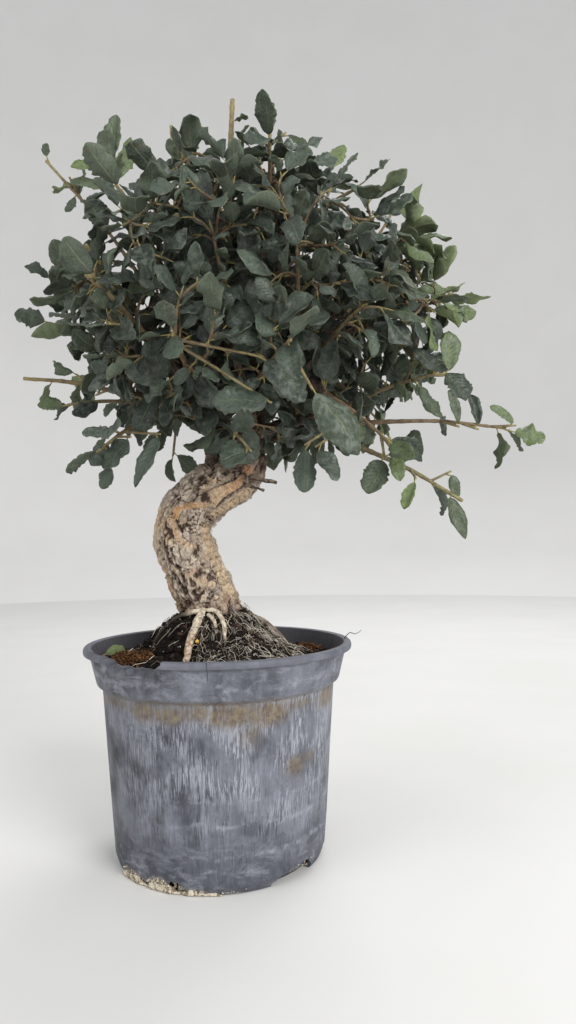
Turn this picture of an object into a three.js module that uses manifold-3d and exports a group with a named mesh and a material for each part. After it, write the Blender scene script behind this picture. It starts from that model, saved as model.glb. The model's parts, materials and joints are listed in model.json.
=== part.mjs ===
// A cork oak bonsai in its worn plastic nursery pot.
// Millimetres, +Z up. The front of the pot faces -Y and +X is to the right.
// The origin is the middle of the pot's flat underside.
import * as THREE from "three";
import { mergeVertices } from "three/addons/utils/BufferGeometryUtils.js";
import Module from "manifold-3d";

const wasm = await Module();
wasm.setup();

// Pot: a 17 cm nursery pot
const POT_SIDES = 30;
const POT_HEIGHT = 130;
const LIP_RADIUS = 85;
const LIP_HEIGHT = 4.5;
const BAND_TOP_RADIUS = 81.2;
const BAND_FOOT_RADIUS = 77.1;
const BAND_FOOT_HEIGHT = 108;
const BODY_TOP_RADIUS = 73.4;
const BODY_TOP_HEIGHT = 105;
const BODY_FOOT_RADIUS = 65.8;
const BODY_FOOT_HEIGHT = 6;
const BASE_RADIUS = 63.8;
const WALL = 1.7;
const FLOOR = 2.4;

// Soil: it fills the pot and is heaped round the trunk
const CLEARANCE = 0.3;
const SOIL_LEVEL = 118;
const MOUND_HEIGHT = 31;
const MOUND_TOP_RADIUS = 16;
const MOUND_SPREAD = 26;
const MOUND_CENTRE = [-4, 0];

// Wood: each path is a list of [x, y, z, radius]
const TRUNK_SIDES = 14;
const LEADER_SIDES = 7;
const LIMB_SIDES = 4;
const SPRAY_SIDES = 3;
const TRUNK_PATH = [
  [-1, 3, 128, 22.5],
  [-2, 2, 139, 20.5],
  [-4.3, 0.5, 148.4, 18.6],
  [-8.7, 0, 160.1, 18.6],
  [-13.2, -1, 169.9, 18.5],
  [-16.3, -1, 178.3, 18.2],
  [-19.9, -2, 187.5, 17.9],
  [-22.7, -2, 197.9, 17.6],
  [-21.6, -2, 208.5, 17.3],
  [-16.4, -1, 218, 17.3],
  [-8.1, 0, 225.2, 17.2],
  [2.4, 1, 231.6, 16.8],
  [12, 1, 238.5, 15.8],
  [18.5, 0, 246, 13],
  [21, -1, 254, 9.6],
];
const LEADER_PATHS = [
  [
    [1, 2, 236, 12.5],
    [-1.2, 4, 247, 9.6],
    [-1.5, 6, 266, 8.4],
    [2, 8, 290, 7.3],
    [8, 8, 320, 6],
    [12, 6, 355, 4.6],
    [14, 6, 388, 3.4],
  ],
  [
    [18.5, 0, 244, 12],
    [21.5, -2, 260, 9.2],
    [25, -3, 279, 8],
    [29, -2, 302, 6.6],
    [37, 0, 332, 5.2],
    [41, 2, 362, 3.8],
  ],
];
const DEAD_STUB_PATHS = [
  [
    [18, -9, 236, 2.4],
    [30, -15, 232.5, 1.9],
    [38.5, -18, 230.4, 1.4],
  ],
  [
    [14, -10, 231, 1.9],
    [25, -16, 227.5, 1.5],
    [30.5, -18, 225.6, 1.1],
  ],
];
const ROOT_PATHS = [
  [
    [-8, -11, 151, 2.9],
    [-8.6, -20.5, 149.5, 2.6],
    [-10.8, -27.5, 144.5, 2.6],
    [-12.9, -34, 138.8, 2.5],
    [-14.3, -40, 132.2, 2.4],
    [-14.6, -46.5, 126.2, 2.3],
    [-14.6, -52, 118, 2],
  ],
  [
    [-8, -13, 150, 2],
    [-10, -19.5, 150.4, 1.9],
    [-16.5, -21, 150.2, 1.9],
    [-23, -21, 148.3, 1.8],
    [-29, -21, 143.8, 1.6],
    [-35.5, -21.5, 137, 1.4],
    [-39.5, -23, 129, 1.2],
  ],
  [
    [-7, -13, 151, 1.7],
    [-5.5, -20, 151.6, 1.6],
    [-0.5, -22, 151.4, 1.6],
    [3, -25, 147.6, 1.5],
    [5.4, -30, 142, 1.4],
    [7, -34.5, 135, 1.1],
  ],
  [
    [-7, -18, 149, 1.4],
    [-3.4, -24.6, 148.2, 1.3],
    [0, -28, 144.8, 1.2],
    [1.4, -31, 138.5, 1],
  ],
  [
    [10, 8, 147, 4],
    [24, 17, 140.5, 3.3],
    [36, 24, 131, 2.6],
    [45, 29, 118, 2],
  ],
  [
    [-10, 10, 147, 4.4],
    [-18, 25, 139.5, 3.4],
    [-22, 39, 128, 2.6],
    [-24, 48, 115, 2],
  ],
];

// Limbs: where each leaves its leader, where it forks, and the tips of the leafy stems it carries.
// A tip with a fourth number is a pruned stem that ends bare, and the number is its radius there.
const LIMBS = [
  { from: [3, 8, 296], fork: [-24, 4, 334], tips: [[-66, -10, 432], [-95, 0, 430], [-31, 12, 480, 1.6]] },
  { from: [1, 8, 284], fork: [-30, -8, 314], tips: [[-70, -58, 367, 1.3], [-88, -24, 358], [-100, 18, 340]] },
  { from: [-1, 6, 268], fork: [-29, 0, 287], tips: [[-132, 12, 306, 1.3], [-97, -6, 284], [-66, -46, 248]] },
  { from: [0, 6, 272], fork: [-10, -34, 286], tips: [[-61, -88, 338, 1.8], [-14, -96, 304]] },
  { from: [23, -3, 270], fork: [20, -38, 281], tips: [[48, -103, 296], [16, -68, 252], [6, -86, 364]] },
  { from: [27, -3, 290], fork: [54, -32, 296], tips: [[100, -82, 246], [87, -90, 318], [52, -86, 362]] },
  {
    from: [22, -2, 262],
    fork: [58, -8, 272],
    tips: [[186, -10, 264], [150, -38, 216, 1.2], [134, -54, 290]],
  },
  { from: [31, -1, 308], fork: [66, 4, 325], tips: [[145, -28, 342], [139, 6, 386, 1.2], [118, 12, 414]] },
  { from: [41, 2, 355], fork: [44, -6, 388], tips: [[75, 6, 444], [36, -22, 450]] },
  { from: [14, 6, 380], fork: [8, -4, 402], tips: [[12, 0, 490, 1.9], [-16, -42, 428]] },
  { from: [2, 8, 290], fork: [-27, 34, 318], tips: [[-86, 62, 388], [-98, 66, 306], [-44, 88, 262]] },
  { from: [10, 8, 330], fork: [12, 44, 336], tips: [[-22, 104, 350], [34, 108, 388], [36, 102, 286]] },
  { from: [33, -1, 316], fork: [62, 34, 324], tips: [[102, 74, 378], [114, 66, 284]] },
  { from: [12, 6, 352], fork: [16, 34, 392], tips: [[-18, 56, 440], [48, 50, 446]] },
  { from: [11, 6, 345], fork: [36, -24, 380], tips: [[90, -52, 402], [38, -72, 420]] },
  { from: [4, 8, 298], fork: [-20, -22, 345], tips: [[-46, -72, 392]] },
  { from: [35, -1, 325], fork: [52, 48, 322], tips: [[80, 88, 330]] },
];
const LIMB_RADIUS = 4.3;
const FORK_RADIUS = 3;
const STEM_RADIUS = 2.2;
const TIP_RADIUS = 0.95;
const FORKED_SHARE = 0.3; // how much of the way from the fork to the tip belongs to the woody limb

// Growth: leafy stems carry short twigs, and leaves in a spiral
const SEED = 20;
const SEED_STEP = 7919;
const GOLDEN_TURN = 2.39996;
const CROWN_MIDDLE = [18, 0, 318];
const TWIG_SPACING = 56;
const TWIG_LENGTHS = [14, 23];
const TWIG_RADII = [1.05, 0.8];
const TWIG_TRIES = 5;
const LEAF_SPACING = 38;
const LEAF_TRIES = 7;
const LEAF_CLEARANCE = 3.6;
const TWIG_CLEARANCE = 1.3;
const END_LEAF_LEAN = 0.22;
const TWIG_LEAF_LEAN = 1;
const STEM_LEAF_LEAN = 0.95;
const TWIG_WOOD_GAP = 2.7;
const TWIG_LEAF_GAP = 3.2;
const OWN_LEAF_GAP = 1.5;
const WOOD = -1; // stands for the number of a spray where a path belongs to none

// Leaves that stand out on the crown: number of the stem, start of the blade, its tip and its width
const NAMED_LEAVES = [
  [1, [-113, 0, 453], [-112, -2, 461], 6],
  [1, [-111, 0, 450], [-97, -4, 450], 9],
  [1, [-100, 2, 438], [-111, -3, 426], 11],
  [1, [-94, 0, 425], [-99, -4, 413], 6],
  [0, [-70, -8, 439], [-92, -16, 437], 9],
  [0, [-69, -10, 425], [-97, -2, 436], 10],
  [0, [-68, -10, 442], [-63, -12, 474], 13],
  [0, [-65, -8, 433], [-56, -2, 465], 12],
  [4, [-103, -24, 361], [-117, -28, 367], 9],
  [4, [-103, -22, 366], [-102, -24, 378], 6],
  [4, [-93, -20, 361], [-90, -24, 373], 6],
  [5, [-120, 18, 347], [-139, 12, 351], 14],
  [5, [-103, 14, 351], [-115, 6, 356], 10],
  [7, [-100, -6, 283], [-116, -8, 284], 10],
  [7, [-76, -10, 284], [-91, -16, 276], 11],
  [7, [-83, -4, 286], [-86, -2, 299], 7],
  [8, [-33, -44, 285], [-43, -50, 259], 15],
  [8, [-21, -50, 279], [-26, -56, 260], 9],
  [8, [-60, -40, 261], [-79, -36, 261], 9],
  [8, [-62, -40, 253], [-72, -42, 240], 13],
  [8, [-48, -48, 254], [-62, -52, 237], 13],
  [8, [-29, -54, 254], [-42, -58, 225], 10],
  [8, [-59, -44, 238], [-66, -40, 226], 9],
  [24, [37, -10, 462], [31, -8, 488], 13],
  [24, [49, -22, 452], [63, -26, 433], 10],
  [24, [64, -18, 435], [81, -14, 441], 13],
  [23, [67, 0, 431], [92, -4, 434], 14],
  [22, [123, 10, 419], [138, 8, 412], 11],
  [21, [133, 4, 377], [127, 2, 397], 12],
  [20, [148, -28, 347], [123, -34, 346], 9],
  [20, [150, -30, 338], [157, -32, 326], 8],
  [19, [141, -50, 292], [142, -50, 315], 13],
  [19, [132, -55, 291], [119, -58, 304], 12],
  [19, [138, -56, 289], [148, -60, 272], 16],
  [19, [122, -58, 281], [134, -62, 262], 9],
  [17, [191, -12, 261], [210, -14, 257], 15],
  [17, [190, -12, 267], [175, -14, 278], 7],
  [17, [168, -10, 266], [164, -8, 287], 9],
  [17, [154, -16, 267], [148, -18, 288], 7],
  [18, [142, -38, 218], [151, -40, 193], 10],
  [18, [145, -34, 232], [148, -34, 217], 7],
  [18, [120, -46, 227], [113, -48, 211], 8],
  [14, [97, -78, 236], [88, -82, 218], 14],
  [14, [103, -84, 238], [105, -88, 224], 9],
  [14, [62, -80, 242], [72, -86, 225], 11],
  [14, [55, -78, 243], [54, -84, 219], 13],
  [12, [23, -66, 243], [8, -70, 237], 13],
  [11, [60, -108, 267], [81, -114, 235], 21],
  [10, [35, -98, 287], [55, -104, 264], 17],
  [10, [35, -97, 265], [7, -101, 266], 16],
];
const NAMED_BENDS = [-0.1, 0.5];
const NAMED_TWISTS = [-0.3, 0.3];
const NAMED_FACING = [0.1, -1, 0.4];
const LONGEST_STALK = 7;
const LEAST_STALK_LEAN = 0.3; // a stalk has to run on towards the blade at least this much
const STALK_PAST_TWIG = 2.6;
const TWIG_START_BACK = 0.08; // a twig for such a leaf starts this share of the stem before it
const TWIG_STEP_BACK = 0.06;
const FIRST_TWIG_SHARE = 0.05;
const LAST_ROOT_SHARE = 0.96; // roots end short of the stem's cut end

// Leaves: a short stalk and an oval blade with a few uneven teeth.
// Teeth are pairs of a share of the blade's length and a swelling of its width.
const LEAF_LENGTHS = [21, 31];
const LEAF_SLENDERNESS = [0.52, 0.72];
const LEAF_BENDS = [-0.25, 0.9];
const LEAF_TWISTS = [-0.45, 0.45];
const STALK_LENGTHS = [2.2, 3.6];
const END_STALK_SUNK = 4;
const SIDE_STALK_SUNK = 0.55; // as a share of the twig's radius
const BLADE_THICKNESS = 0.7;
const STALK_THICKNESS = 1.4;
const LEFT_TEETH = [[0.05, 1], [0.3, 1.08], [0.52, 0.88], [0.8, 1.16]];
const RIGHT_TEETH = [[0.05, 1], [0.22, 0.94], [0.56, 1.07], [0.76, 0.84]];

// Colours
const PLASTIC = new THREE.MeshStandardMaterial({ color: 0x5f6b7c, roughness: 0.75, metalness: 0 });
const EARTH = new THREE.MeshStandardMaterial({ color: 0x2b221c, roughness: 1, metalness: 0 });
const BARK = new THREE.MeshStandardMaterial({ color: 0x8f7a64, roughness: 0.95, metalness: 0 });
const FOLIAGE = new THREE.MeshStandardMaterial({ color: 0x33483c, roughness: 0.6, metalness: 0 });

// A repeatable draw between 0 and 1
function seededDraw(seed) {
  let state = seed >>> 0;
  return () => {
    state = (Math.imul(state, 1664525) + 1013904223) >>> 0;
    return state / 4294967296;
  };
}

function point([x, y, z]) {
  return new THREE.Vector3(x, y, z);
}

function mix(from, to, share) {
  return from.clone().lerp(to, share);
}

// The part of a direction that is square to an axis, at length 1
function squareTo(direction, axis) {
  return direction.clone().addScaledVector(axis, -direction.dot(axis)).normalize();
}

// A closed three.js geometry as a solid, turned to face outwards
function solidOf(geometry) {
  geometry.deleteAttribute("normal");
  geometry.deleteAttribute("uv");
  const merged = mergeVertices(geometry, 1e-4);
  const corners = [...merged.index.array];
  const kept = [];
  for (let i = 0; i < corners.length; i += 3) {
    const [a, b, c] = corners.slice(i, i + 3);
    if (a !== b && b !== c && c !== a) kept.push(a, b, c);
  }
  const position = merged.attributes.position;
  const at = (i) => new THREE.Vector3().fromBufferAttribute(position, i);
  let volume = 0;
  for (let i = 0; i < kept.length; i += 3) {
    volume += at(kept[i]).dot(at(kept[i + 1]).cross(at(kept[i + 2])));
  }
  if (volume < 0) kept.reverse();
  const mesh = new wasm.Mesh({
    numProp: 3,
    vertProperties: position.array,
    triVerts: new Uint32Array(kept),
  });
  return new wasm.Manifold(mesh);
}

function meshOf(name, solid, material) {
  const made = solid.getMesh();
  const geometry = new THREE.BufferGeometry();
  geometry.setAttribute("position", new THREE.BufferAttribute(made.vertProperties, 3));
  geometry.setIndex(new THREE.BufferAttribute(made.triVerts, 1));
  geometry.computeVertexNormals();
  const mesh = new THREE.Mesh(geometry, material);
  mesh.name = name;
  return mesh;
}

function joined(solids) {
  return solids.reduce((whole, next) => whole.add(next));
}

function largestBody(solid) {
  const bodies = solid.decompose();
  return bodies.reduce((best, next) => (next.volume() > best.volume() ? next : best));
}

// A closed skin over rings of equal count. Each flat end is a fan from the ring's first corner;
// a last end that isn't flat is a fan from a middle point.
function skin(rings, lastMiddle) {
  const sides = rings[0].length;
  const vertices = rings.flat();
  const end = (rings.length - 1) * sides;
  const indices = [];
  for (let i = 0; i < sides; i++) {
    const next = (i + 1) % sides;
    for (let ring = 0; ring < rings.length - 1; ring++) {
      const a = ring * sides + i;
      const b = ring * sides + next;
      indices.push(a, b, b + sides, a, b + sides, a + sides);
    }
    indices.push(0, next, i);
    indices.push(lastMiddle ? vertices.length : end, end + i, end + next);
  }
  if (lastMiddle) vertices.push(lastMiddle);
  const geometry = new THREE.BufferGeometry().setFromPoints(vertices);
  geometry.setIndex(indices);
  return solidOf(geometry);
}

// The direction of a path at each of its points
function directionsOf(points) {
  return points.map((here, i) => {
    const before = points[Math.max(i - 1, 0)];
    const after = points[Math.min(i + 1, points.length - 1)];
    return after.clone().sub(before).normalize();
  });
}

// A tube whose radius changes along its path; shape(along, turn) can swell it
function taperedTube(path, sides, shape = () => 1) {
  const points = path.map(point);
  const directions = directionsOf(points);
  let across = squareTo(new THREE.Vector3(0.31, -0.95, 0.05), directions[0]);
  const rings = points.map((middle, i) => {
    across = squareTo(across, directions[i]);
    const over = directions[i].clone().cross(across);
    const ring = [];
    for (let side = 0; side < sides; side++) {
      const turn = (2 * Math.PI * side) / sides;
      const radius = path[i][3] * shape(i, turn);
      ring.push(
        middle
          .clone()
          .addScaledVector(across, radius * Math.cos(turn))
          .addScaledVector(over, radius * Math.sin(turn)),
      );
    }
    return ring;
  });
  return skin(rings);
}

// A block that follows the pot's wall, from angle to angle, between a lower and an upper edge.
// Angles are in degrees from the front, growing to the right.
function wallCutter(angles, lower, upper, innerRadius, outerRadius) {
  const rings = angles.map((degrees, i) => {
    const angle = THREE.MathUtils.degToRad(degrees);
    const corner = (radius, z) => point([radius * Math.sin(angle), -radius * Math.cos(angle), z]);
    return [
      corner(innerRadius, lower[i]),
      corner(outerRadius, lower[i]),
      corner(outerRadius, upper[i]),
      corner(innerRadius, upper[i]),
    ];
  });
  return skin(rings);
}

function turned(profile, sides) {
  const outline = profile.map(([radius, z]) => new THREE.Vector2(radius, z));
  return solidOf(new THREE.LatheGeometry(outline, sides).rotateX(Math.PI / 2));
}

function potShell() {
  const bandTop = POT_HEIGHT - LIP_HEIGHT;
  return turned(
    [
      [0, 0],
      [BASE_RADIUS, 0],
      [BODY_FOOT_RADIUS, BODY_FOOT_HEIGHT],
      [BODY_TOP_RADIUS, BODY_TOP_HEIGHT],
      [BAND_FOOT_RADIUS, BAND_FOOT_HEIGHT],
      [BAND_TOP_RADIUS, bandTop],
      [LIP_RADIUS, bandTop + 0.6],
      [LIP_RADIUS, POT_HEIGHT - 0.8],
      [LIP_RADIUS - 1.2, POT_HEIGHT],
      [BAND_TOP_RADIUS - WALL + 0.6, POT_HEIGHT - 0.3],
      [BAND_FOOT_RADIUS - WALL, BAND_FOOT_HEIGHT + 1.2],
      [BODY_TOP_RADIUS - WALL, BODY_TOP_HEIGHT + 1.2],
      [BODY_FOOT_RADIUS - WALL, BODY_FOOT_HEIGHT],
      [BASE_RADIUS - WALL - 0.6, FLOOR],
      [0, FLOOR],
    ],
    POT_SIDES,
  );
}

// What has broken off the lip, with its ragged lower edge
function brokenLip() {
  const angles = [-41, -38, -34, -30, -26, -22, -18.5, -16.5];
  const lower = [126.6, 125.3, 126, 125, 125.8, 125.1, 125.6, 128.4];
  const upper = angles.map(() => POT_HEIGHT + 5);
  return wallCutter(angles, lower, upper, BAND_TOP_RADIUS - 8, LIP_RADIUS + 6);
}

function lipCrack() {
  const lower = [118.5, 117.2, 118.2];
  const upper = lower.map(() => POT_HEIGHT + 5);
  return wallCutter([0.4, 0.8, 1.2], lower, upper, BODY_TOP_RADIUS - 8, LIP_RADIUS + 6);
}

// An opening worn or moulded into the bottom edge, highest at the given heights
function footNotch(angles, heights) {
  const lower = angles.map(() => -1);
  return wallCutter(angles, lower, heights, BASE_RADIUS - 5.2, BODY_FOOT_RADIUS + 4);
}

function footNotches() {
  const notches = [
    footNotch([-50, -46, -40, -35], [1.6, 4.2, 4.8, 2.2]),
    footNotch([-23, -20, -15, -12], [2, 6.8, 6.8, 2]),
    footNotch([31, 37, 48, 55, 60], [1.6, 5, 6, 8, 2.4]),
  ];
  for (const middle of [114, 172, 230]) {
    notches.push(footNotch([-5.5, -2.5, 2.5, 5.5].map((step) => middle + step), [2, 6.5, 6.5, 2]));
  }
  return notches;
}

function potSolid() {
  const cuts = [brokenLip(), lipCrack(), ...footNotches()];
  return cuts.reduce((shell, cut) => shell.subtract(cut), potShell());
}

// Height of the soil over a place in the pot: a mound round the trunk on a lumpy bed
function soilHeight(x, y) {
  const away = Math.hypot(x - MOUND_CENTRE[0], y - MOUND_CENTRE[1]);
  const slope = Math.max(away - MOUND_TOP_RADIUS, 0) / MOUND_SPREAD;
  const lumps = 1.1 * Math.sin(x * 0.13 + 0.6) * Math.cos(y * 0.11) + 0.7 * Math.sin(x * 0.29 - y * 0.23);
  return SOIL_LEVEL + MOUND_HEIGHT * Math.exp(-slope * slope) + lumps * Math.min(slope, 1);
}

function soilRing(radius, heightAt) {
  const ring = [];
  for (let i = 0; i < POT_SIDES; i++) {
    const angle = (2 * Math.PI * i) / POT_SIDES;
    const x = radius * Math.sin(angle);
    const y = -radius * Math.cos(angle);
    ring.push(point([x, y, heightAt(x, y)]));
  }
  return ring;
}

function soilFill() {
  const gap = WALL + CLEARANCE + 0.1;
  const walls = [
    [BASE_RADIUS - gap - 0.8, FLOOR + CLEARANCE],
    [BODY_TOP_RADIUS - gap, BODY_TOP_HEIGHT + 1.6],
    [BAND_FOOT_RADIUS - gap, BAND_FOOT_HEIGHT + 1.6],
  ];
  const rings = walls.map(([radius, z]) => soilRing(radius, () => z));
  for (const radius of [BAND_FOOT_RADIUS + 1.6 - gap, 60, 45, 33, 22]) {
    rings.push(soilRing(radius, soilHeight));
  }
  return skin(rings, point([0, 0, soilHeight(0, 0)]));
}

function swollen(path, extra) {
  return path.map(([x, y, z, radius]) => [x, y, z, radius + extra]);
}

// Lengthwise ridges and swellings of the corky trunk
function trunkRelief(ring, turn) {
  const ridges = 0.035 * Math.cos(5 * turn + 0.5 * ring) + 0.03 * Math.cos(8 * turn - 0.8 * ring);
  return 1 + ridges + 0.02 * Math.sin(ring * 2.3);
}

function trunkTube(extra) {
  return taperedTube(swollen(TRUNK_PATH, extra), TRUNK_SIDES, trunkRelief);
}

function rootTubes(extra) {
  return ROOT_PATHS.map((path) => taperedTube(swollen(path, extra), LIMB_SIDES));
}

// The soil has a plain hole for the foot of the trunk and a groove for each surface root
function soilSolid() {
  const holes = [trunkTube(CLEARANCE + 0.2), ...rootTubes(CLEARANCE + 0.25)];
  const footHole = taperedTube([[-1, 3, 126.5, 23.4], [-1, 3, 128.4, 23.4]], TRUNK_SIDES, trunkRelief);
  return largestBody([...holes, footHole].reduce((earth, hole) => earth.subtract(hole), soilFill()));
}

// Points along a limb or stem that bows a little upwards between its ends
function bowed(from, to, steps, bow) {
  const points = [];
  for (let i = 0; i <= steps; i++) {
    const share = i / steps;
    const here = mix(from, to, share);
    here.z += bow * 4 * share * (1 - share);
    points.push(here);
  }
  return points;
}

function withRadii(points, firstRadius, lastRadius) {
  const last = points.length - 1;
  return points.map((p, i) => [p.x, p.y, p.z, firstRadius + ((lastRadius - firstRadius) * i) / last]);
}

// The woody limbs, and the leafy stems that start where the limbs end.
// A limb runs on into the first of its forks, and the other forks grow out of it.
function plannedCrown() {
  const limbs = [];
  const stems = [];
  for (const { from, fork, tips } of LIMBS) {
    const limb = withRadii(bowed(point(from), point(fork), 2, 2), LIMB_RADIUS, FORK_RADIUS);
    tips.forEach(([x, y, z, cutRadius], i) => {
      const forkPoint = point(fork);
      const tip = point([x, y, z]);
      const end = mix(forkPoint, tip, FORKED_SHARE);
      const way = tip.clone().sub(forkPoint).normalize();
      const limbEnd = end.clone().addScaledVector(way, -CLEARANCE / 2);
      const stemStart = end.clone().addScaledVector(way, CLEARANCE / 2);
      const forked = withRadii([forkPoint, limbEnd], FORK_RADIUS - 0.2, STEM_RADIUS);
      limbs.push(i === 0 ? [...limb, forked[1]] : forked);
      const straight = stemStart.clone().addScaledVector(way, 4);
      const curved = bowed(straight, tip, 2, stemStart.distanceTo(tip) * 0.03);
      const path = withRadii([stemStart, ...curved], STEM_RADIUS, cutRadius ?? TIP_RADIUS);
      stems.push({ path, bare: cutRadius !== undefined });
    });
  }
  return { limbs, stems };
}

// Straight pieces of a path, each with its thicker radius
function segmentsOf(path, spray) {
  const segments = [];
  for (let i = 0; i < path.length - 1; i++) {
    segments.push({ spray, from: point(path[i]), to: point(path[i + 1]), radius: path[i][3] });
  }
  return segments;
}

// The place and direction at a share of a path's length, each segment counted alike
function placeOn(path, share) {
  const spot = Math.min(share * (path.length - 1), path.length - 1.001);
  const i = Math.floor(spot);
  const from = point(path[i]);
  const to = point(path[i + 1]);
  return { at: mix(from, to, spot - i), way: to.clone().sub(from).normalize() };
}

function nearestOnSegment(p, { from, to }) {
  const along = to.clone().sub(from);
  const share = THREE.MathUtils.clamp(p.clone().sub(from).dot(along) / along.lengthSq(), 0, 1);
  return { share, gap: p.distanceTo(from.clone().addScaledVector(along, share)) };
}

// Half the blade's width at a share of its length, as a share of half its greatest width
function leafShape(along) {
  return 2.217 * along ** 0.6 * (1 - along) ** 0.55;
}

// A point of the blade's middle surface; across runs from -1 on one edge to 1 on the other
function leafPoint(leaf, along, across, swell = 1) {
  const half = (leaf.width / 2) * leafShape(along) * swell * across;
  const turn = leaf.twist * along;
  return leaf.base
    .clone()
    .addScaledVector(leaf.axis, leaf.length * along * (1 - (leaf.bend * along) ** 2 / 6))
    .addScaledVector(leaf.normal, (-leaf.length * leaf.bend * along * along) / 2 + half * Math.sin(turn))
    .addScaledVector(leaf.side, half * Math.cos(turn));
}

function leafNormal(leaf, along) {
  const turn = leaf.twist * along;
  return leaf.normal
    .clone()
    .multiplyScalar(Math.cos(turn))
    .addScaledVector(leaf.side, -Math.sin(turn))
    .addScaledVector(leaf.axis, leaf.bend * along)
    .normalize();
}

// Points spread over the blade, for keeping leaves clear of each other
function leafSamples(leaf) {
  const samples = [];
  for (const along of [0.1, 0.26, 0.42, 0.58, 0.74, 0.9, 1]) {
    for (const across of along === 1 ? [0] : [-0.95, -0.48, 0, 0.48, 0.95]) {
      samples.push(leafPoint(leaf, along, across));
    }
  }
  return samples;
}

// The crown as it grows: what is already there, and the tests that keep new growth clear of it
class Crown {
  constructor() {
    this.segments = [];
    this.leaves = [];
  }

  addPath(path, spray = WOOD) {
    this.segments.push(...segmentsOf(path, spray));
  }

  leafFits(leaf, spray, ownWoodCounts = true) {
    const samples = leafSamples(leaf);
    const middle = samples[17];
    const reach = leaf.length * 0.62;
    for (const other of this.leaves) {
      if (other.middle.distanceTo(middle) > other.reach + reach + LEAF_CLEARANCE) continue;
      for (const p of samples) {
        for (const q of other.samples) {
          if (p.distanceToSquared(q) < LEAF_CLEARANCE * LEAF_CLEARANCE) return false;
        }
      }
    }
    for (const segment of this.segments) {
      if (segment.spray === spray && !ownWoodCounts) continue;
      const size = segment.from.distanceTo(segment.to) + reach;
      if (segment.from.distanceTo(middle) > size + 6) continue;
      for (const p of samples) {
        if (nearestOnSegment(p, segment).gap < segment.radius + TWIG_CLEARANCE) return false;
      }
    }
    this.leaves.push({ spray, samples, middle, reach });
    return true;
  }

  // A twig is tested at points along it, against the wood of other sprays and all leaves
  twigFits(path, spray) {
    for (const share of [0.3, 0.5, 0.7, 0.85, 0.999]) {
      const { at } = placeOn(path, share);
      for (const segment of this.segments) {
        if (segment.spray === spray) continue;
        if (nearestOnSegment(at, segment).gap < segment.radius + TWIG_WOOD_GAP) return false;
      }
      for (const other of this.leaves) {
        if (other.middle.distanceTo(at) > other.reach + 6) continue;
        const leastGap = other.spray === spray ? OWN_LEAF_GAP : TWIG_LEAF_GAP;
        if (other.samples.some((q) => q.distanceTo(at) < leastGap)) return false;
      }
    }
    this.addPath(path, spray);
    return true;
  }
}

// Directions for growth at a place: a turn round the stem, and straight out of the crown
function sidewaysAt({ way }, turn) {
  const start = squareTo(new THREE.Vector3(0.2, 0.3, 1), way);
  const over = way.clone().cross(start);
  return start.multiplyScalar(Math.cos(turn)).addScaledVector(over, Math.sin(turn));
}

function outwardsAt({ at }) {
  return at.clone().sub(point(CROWN_MIDDLE)).normalize();
}

function between([low, high], share) {
  return low + (high - low) * share;
}

// Draws one leaf that grows from a place on a stem or twig, leaning out to one side of it.
// A leaf at the end of a stem runs on along it.
function drawnLeaf(place, radius, lean, turn, draw) {
  const outwards = outwardsAt(place);
  const axis = place.way
    .clone()
    .multiplyScalar(Math.cos(lean))
    .addScaledVector(sidewaysAt(place, turn), Math.sin(lean))
    .addScaledVector(outwards, 0.25)
    .normalize();
  const facing = new THREE.Vector3(draw() - 0.5, draw() - 0.5, 0.3 + 0.5 * draw()).add(outwards);
  const normal = squareTo(facing, axis);
  const length = between(LEAF_LENGTHS, draw());
  const width = length * between(LEAF_SLENDERNESS, draw());
  const stalk = radius + between(STALK_LENGTHS, draw());
  const [inwards, depth] = radius === 0 ? [place.way, END_STALK_SUNK] : [axis, radius * SIDE_STALK_SUNK];
  return {
    root: place.at.clone().addScaledVector(inwards, -depth),
    base: place.at.clone().addScaledVector(axis, stalk),
    axis,
    normal,
    side: normal.clone().cross(axis),
    length,
    width,
    bend: between(LEAF_BENDS, draw()),
    twist: between(LEAF_TWISTS, draw()),
  };
}

// Tries a leaf at a place a few times, turning on round the stem
function growLeaf(crown, spray, place, radius, lean, turn, draw) {
  for (let attempt = 0; attempt < LEAF_TRIES; attempt++) {
    const leaf = drawnLeaf(place, radius, lean + 0.12 * attempt, turn + attempt * GOLDEN_TURN, draw);
    if (crown.leafFits(leaf, spray)) return [leaf];
  }
  return [];
}

function growTwig(crown, spray, path, share, turn, draw) {
  const length = between(TWIG_LENGTHS, draw());
  const place = placeOn(path, share);
  for (let attempt = 0; attempt < TWIG_TRIES; attempt++) {
    const leaning = place.way
      .clone()
      .multiplyScalar(0.62)
      .addScaledVector(sidewaysAt(place, turn + attempt * GOLDEN_TURN + draw()), 0.8)
      .addScaledVector(outwardsAt(place), 0.3)
      .normalize();
    const twig = withRadii([place.at, place.at.clone().addScaledVector(leaning, length)], ...TWIG_RADII);
    if (crown.twigFits(twig, spray)) return [twig];
  }
  return [];
}

// The share of a path's length at its place nearest to a spot, and the gap between
function nearestShare(path, spot) {
  let best = { gap: Infinity, share: 0 };
  segmentsOf(path, WOOD).forEach((segment, i) => {
    const { gap, share } = nearestOnSegment(spot, segment);
    if (gap < best.gap) best = { gap, share: (i + share) / (path.length - 1) };
  });
  return best;
}

// Where a leaf is rooted in its stem: on the middle line, and short of a cut end
function rootOn(path, share) {
  return placeOn(path, Math.min(share, LAST_ROOT_SHARE)).at;
}

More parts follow.
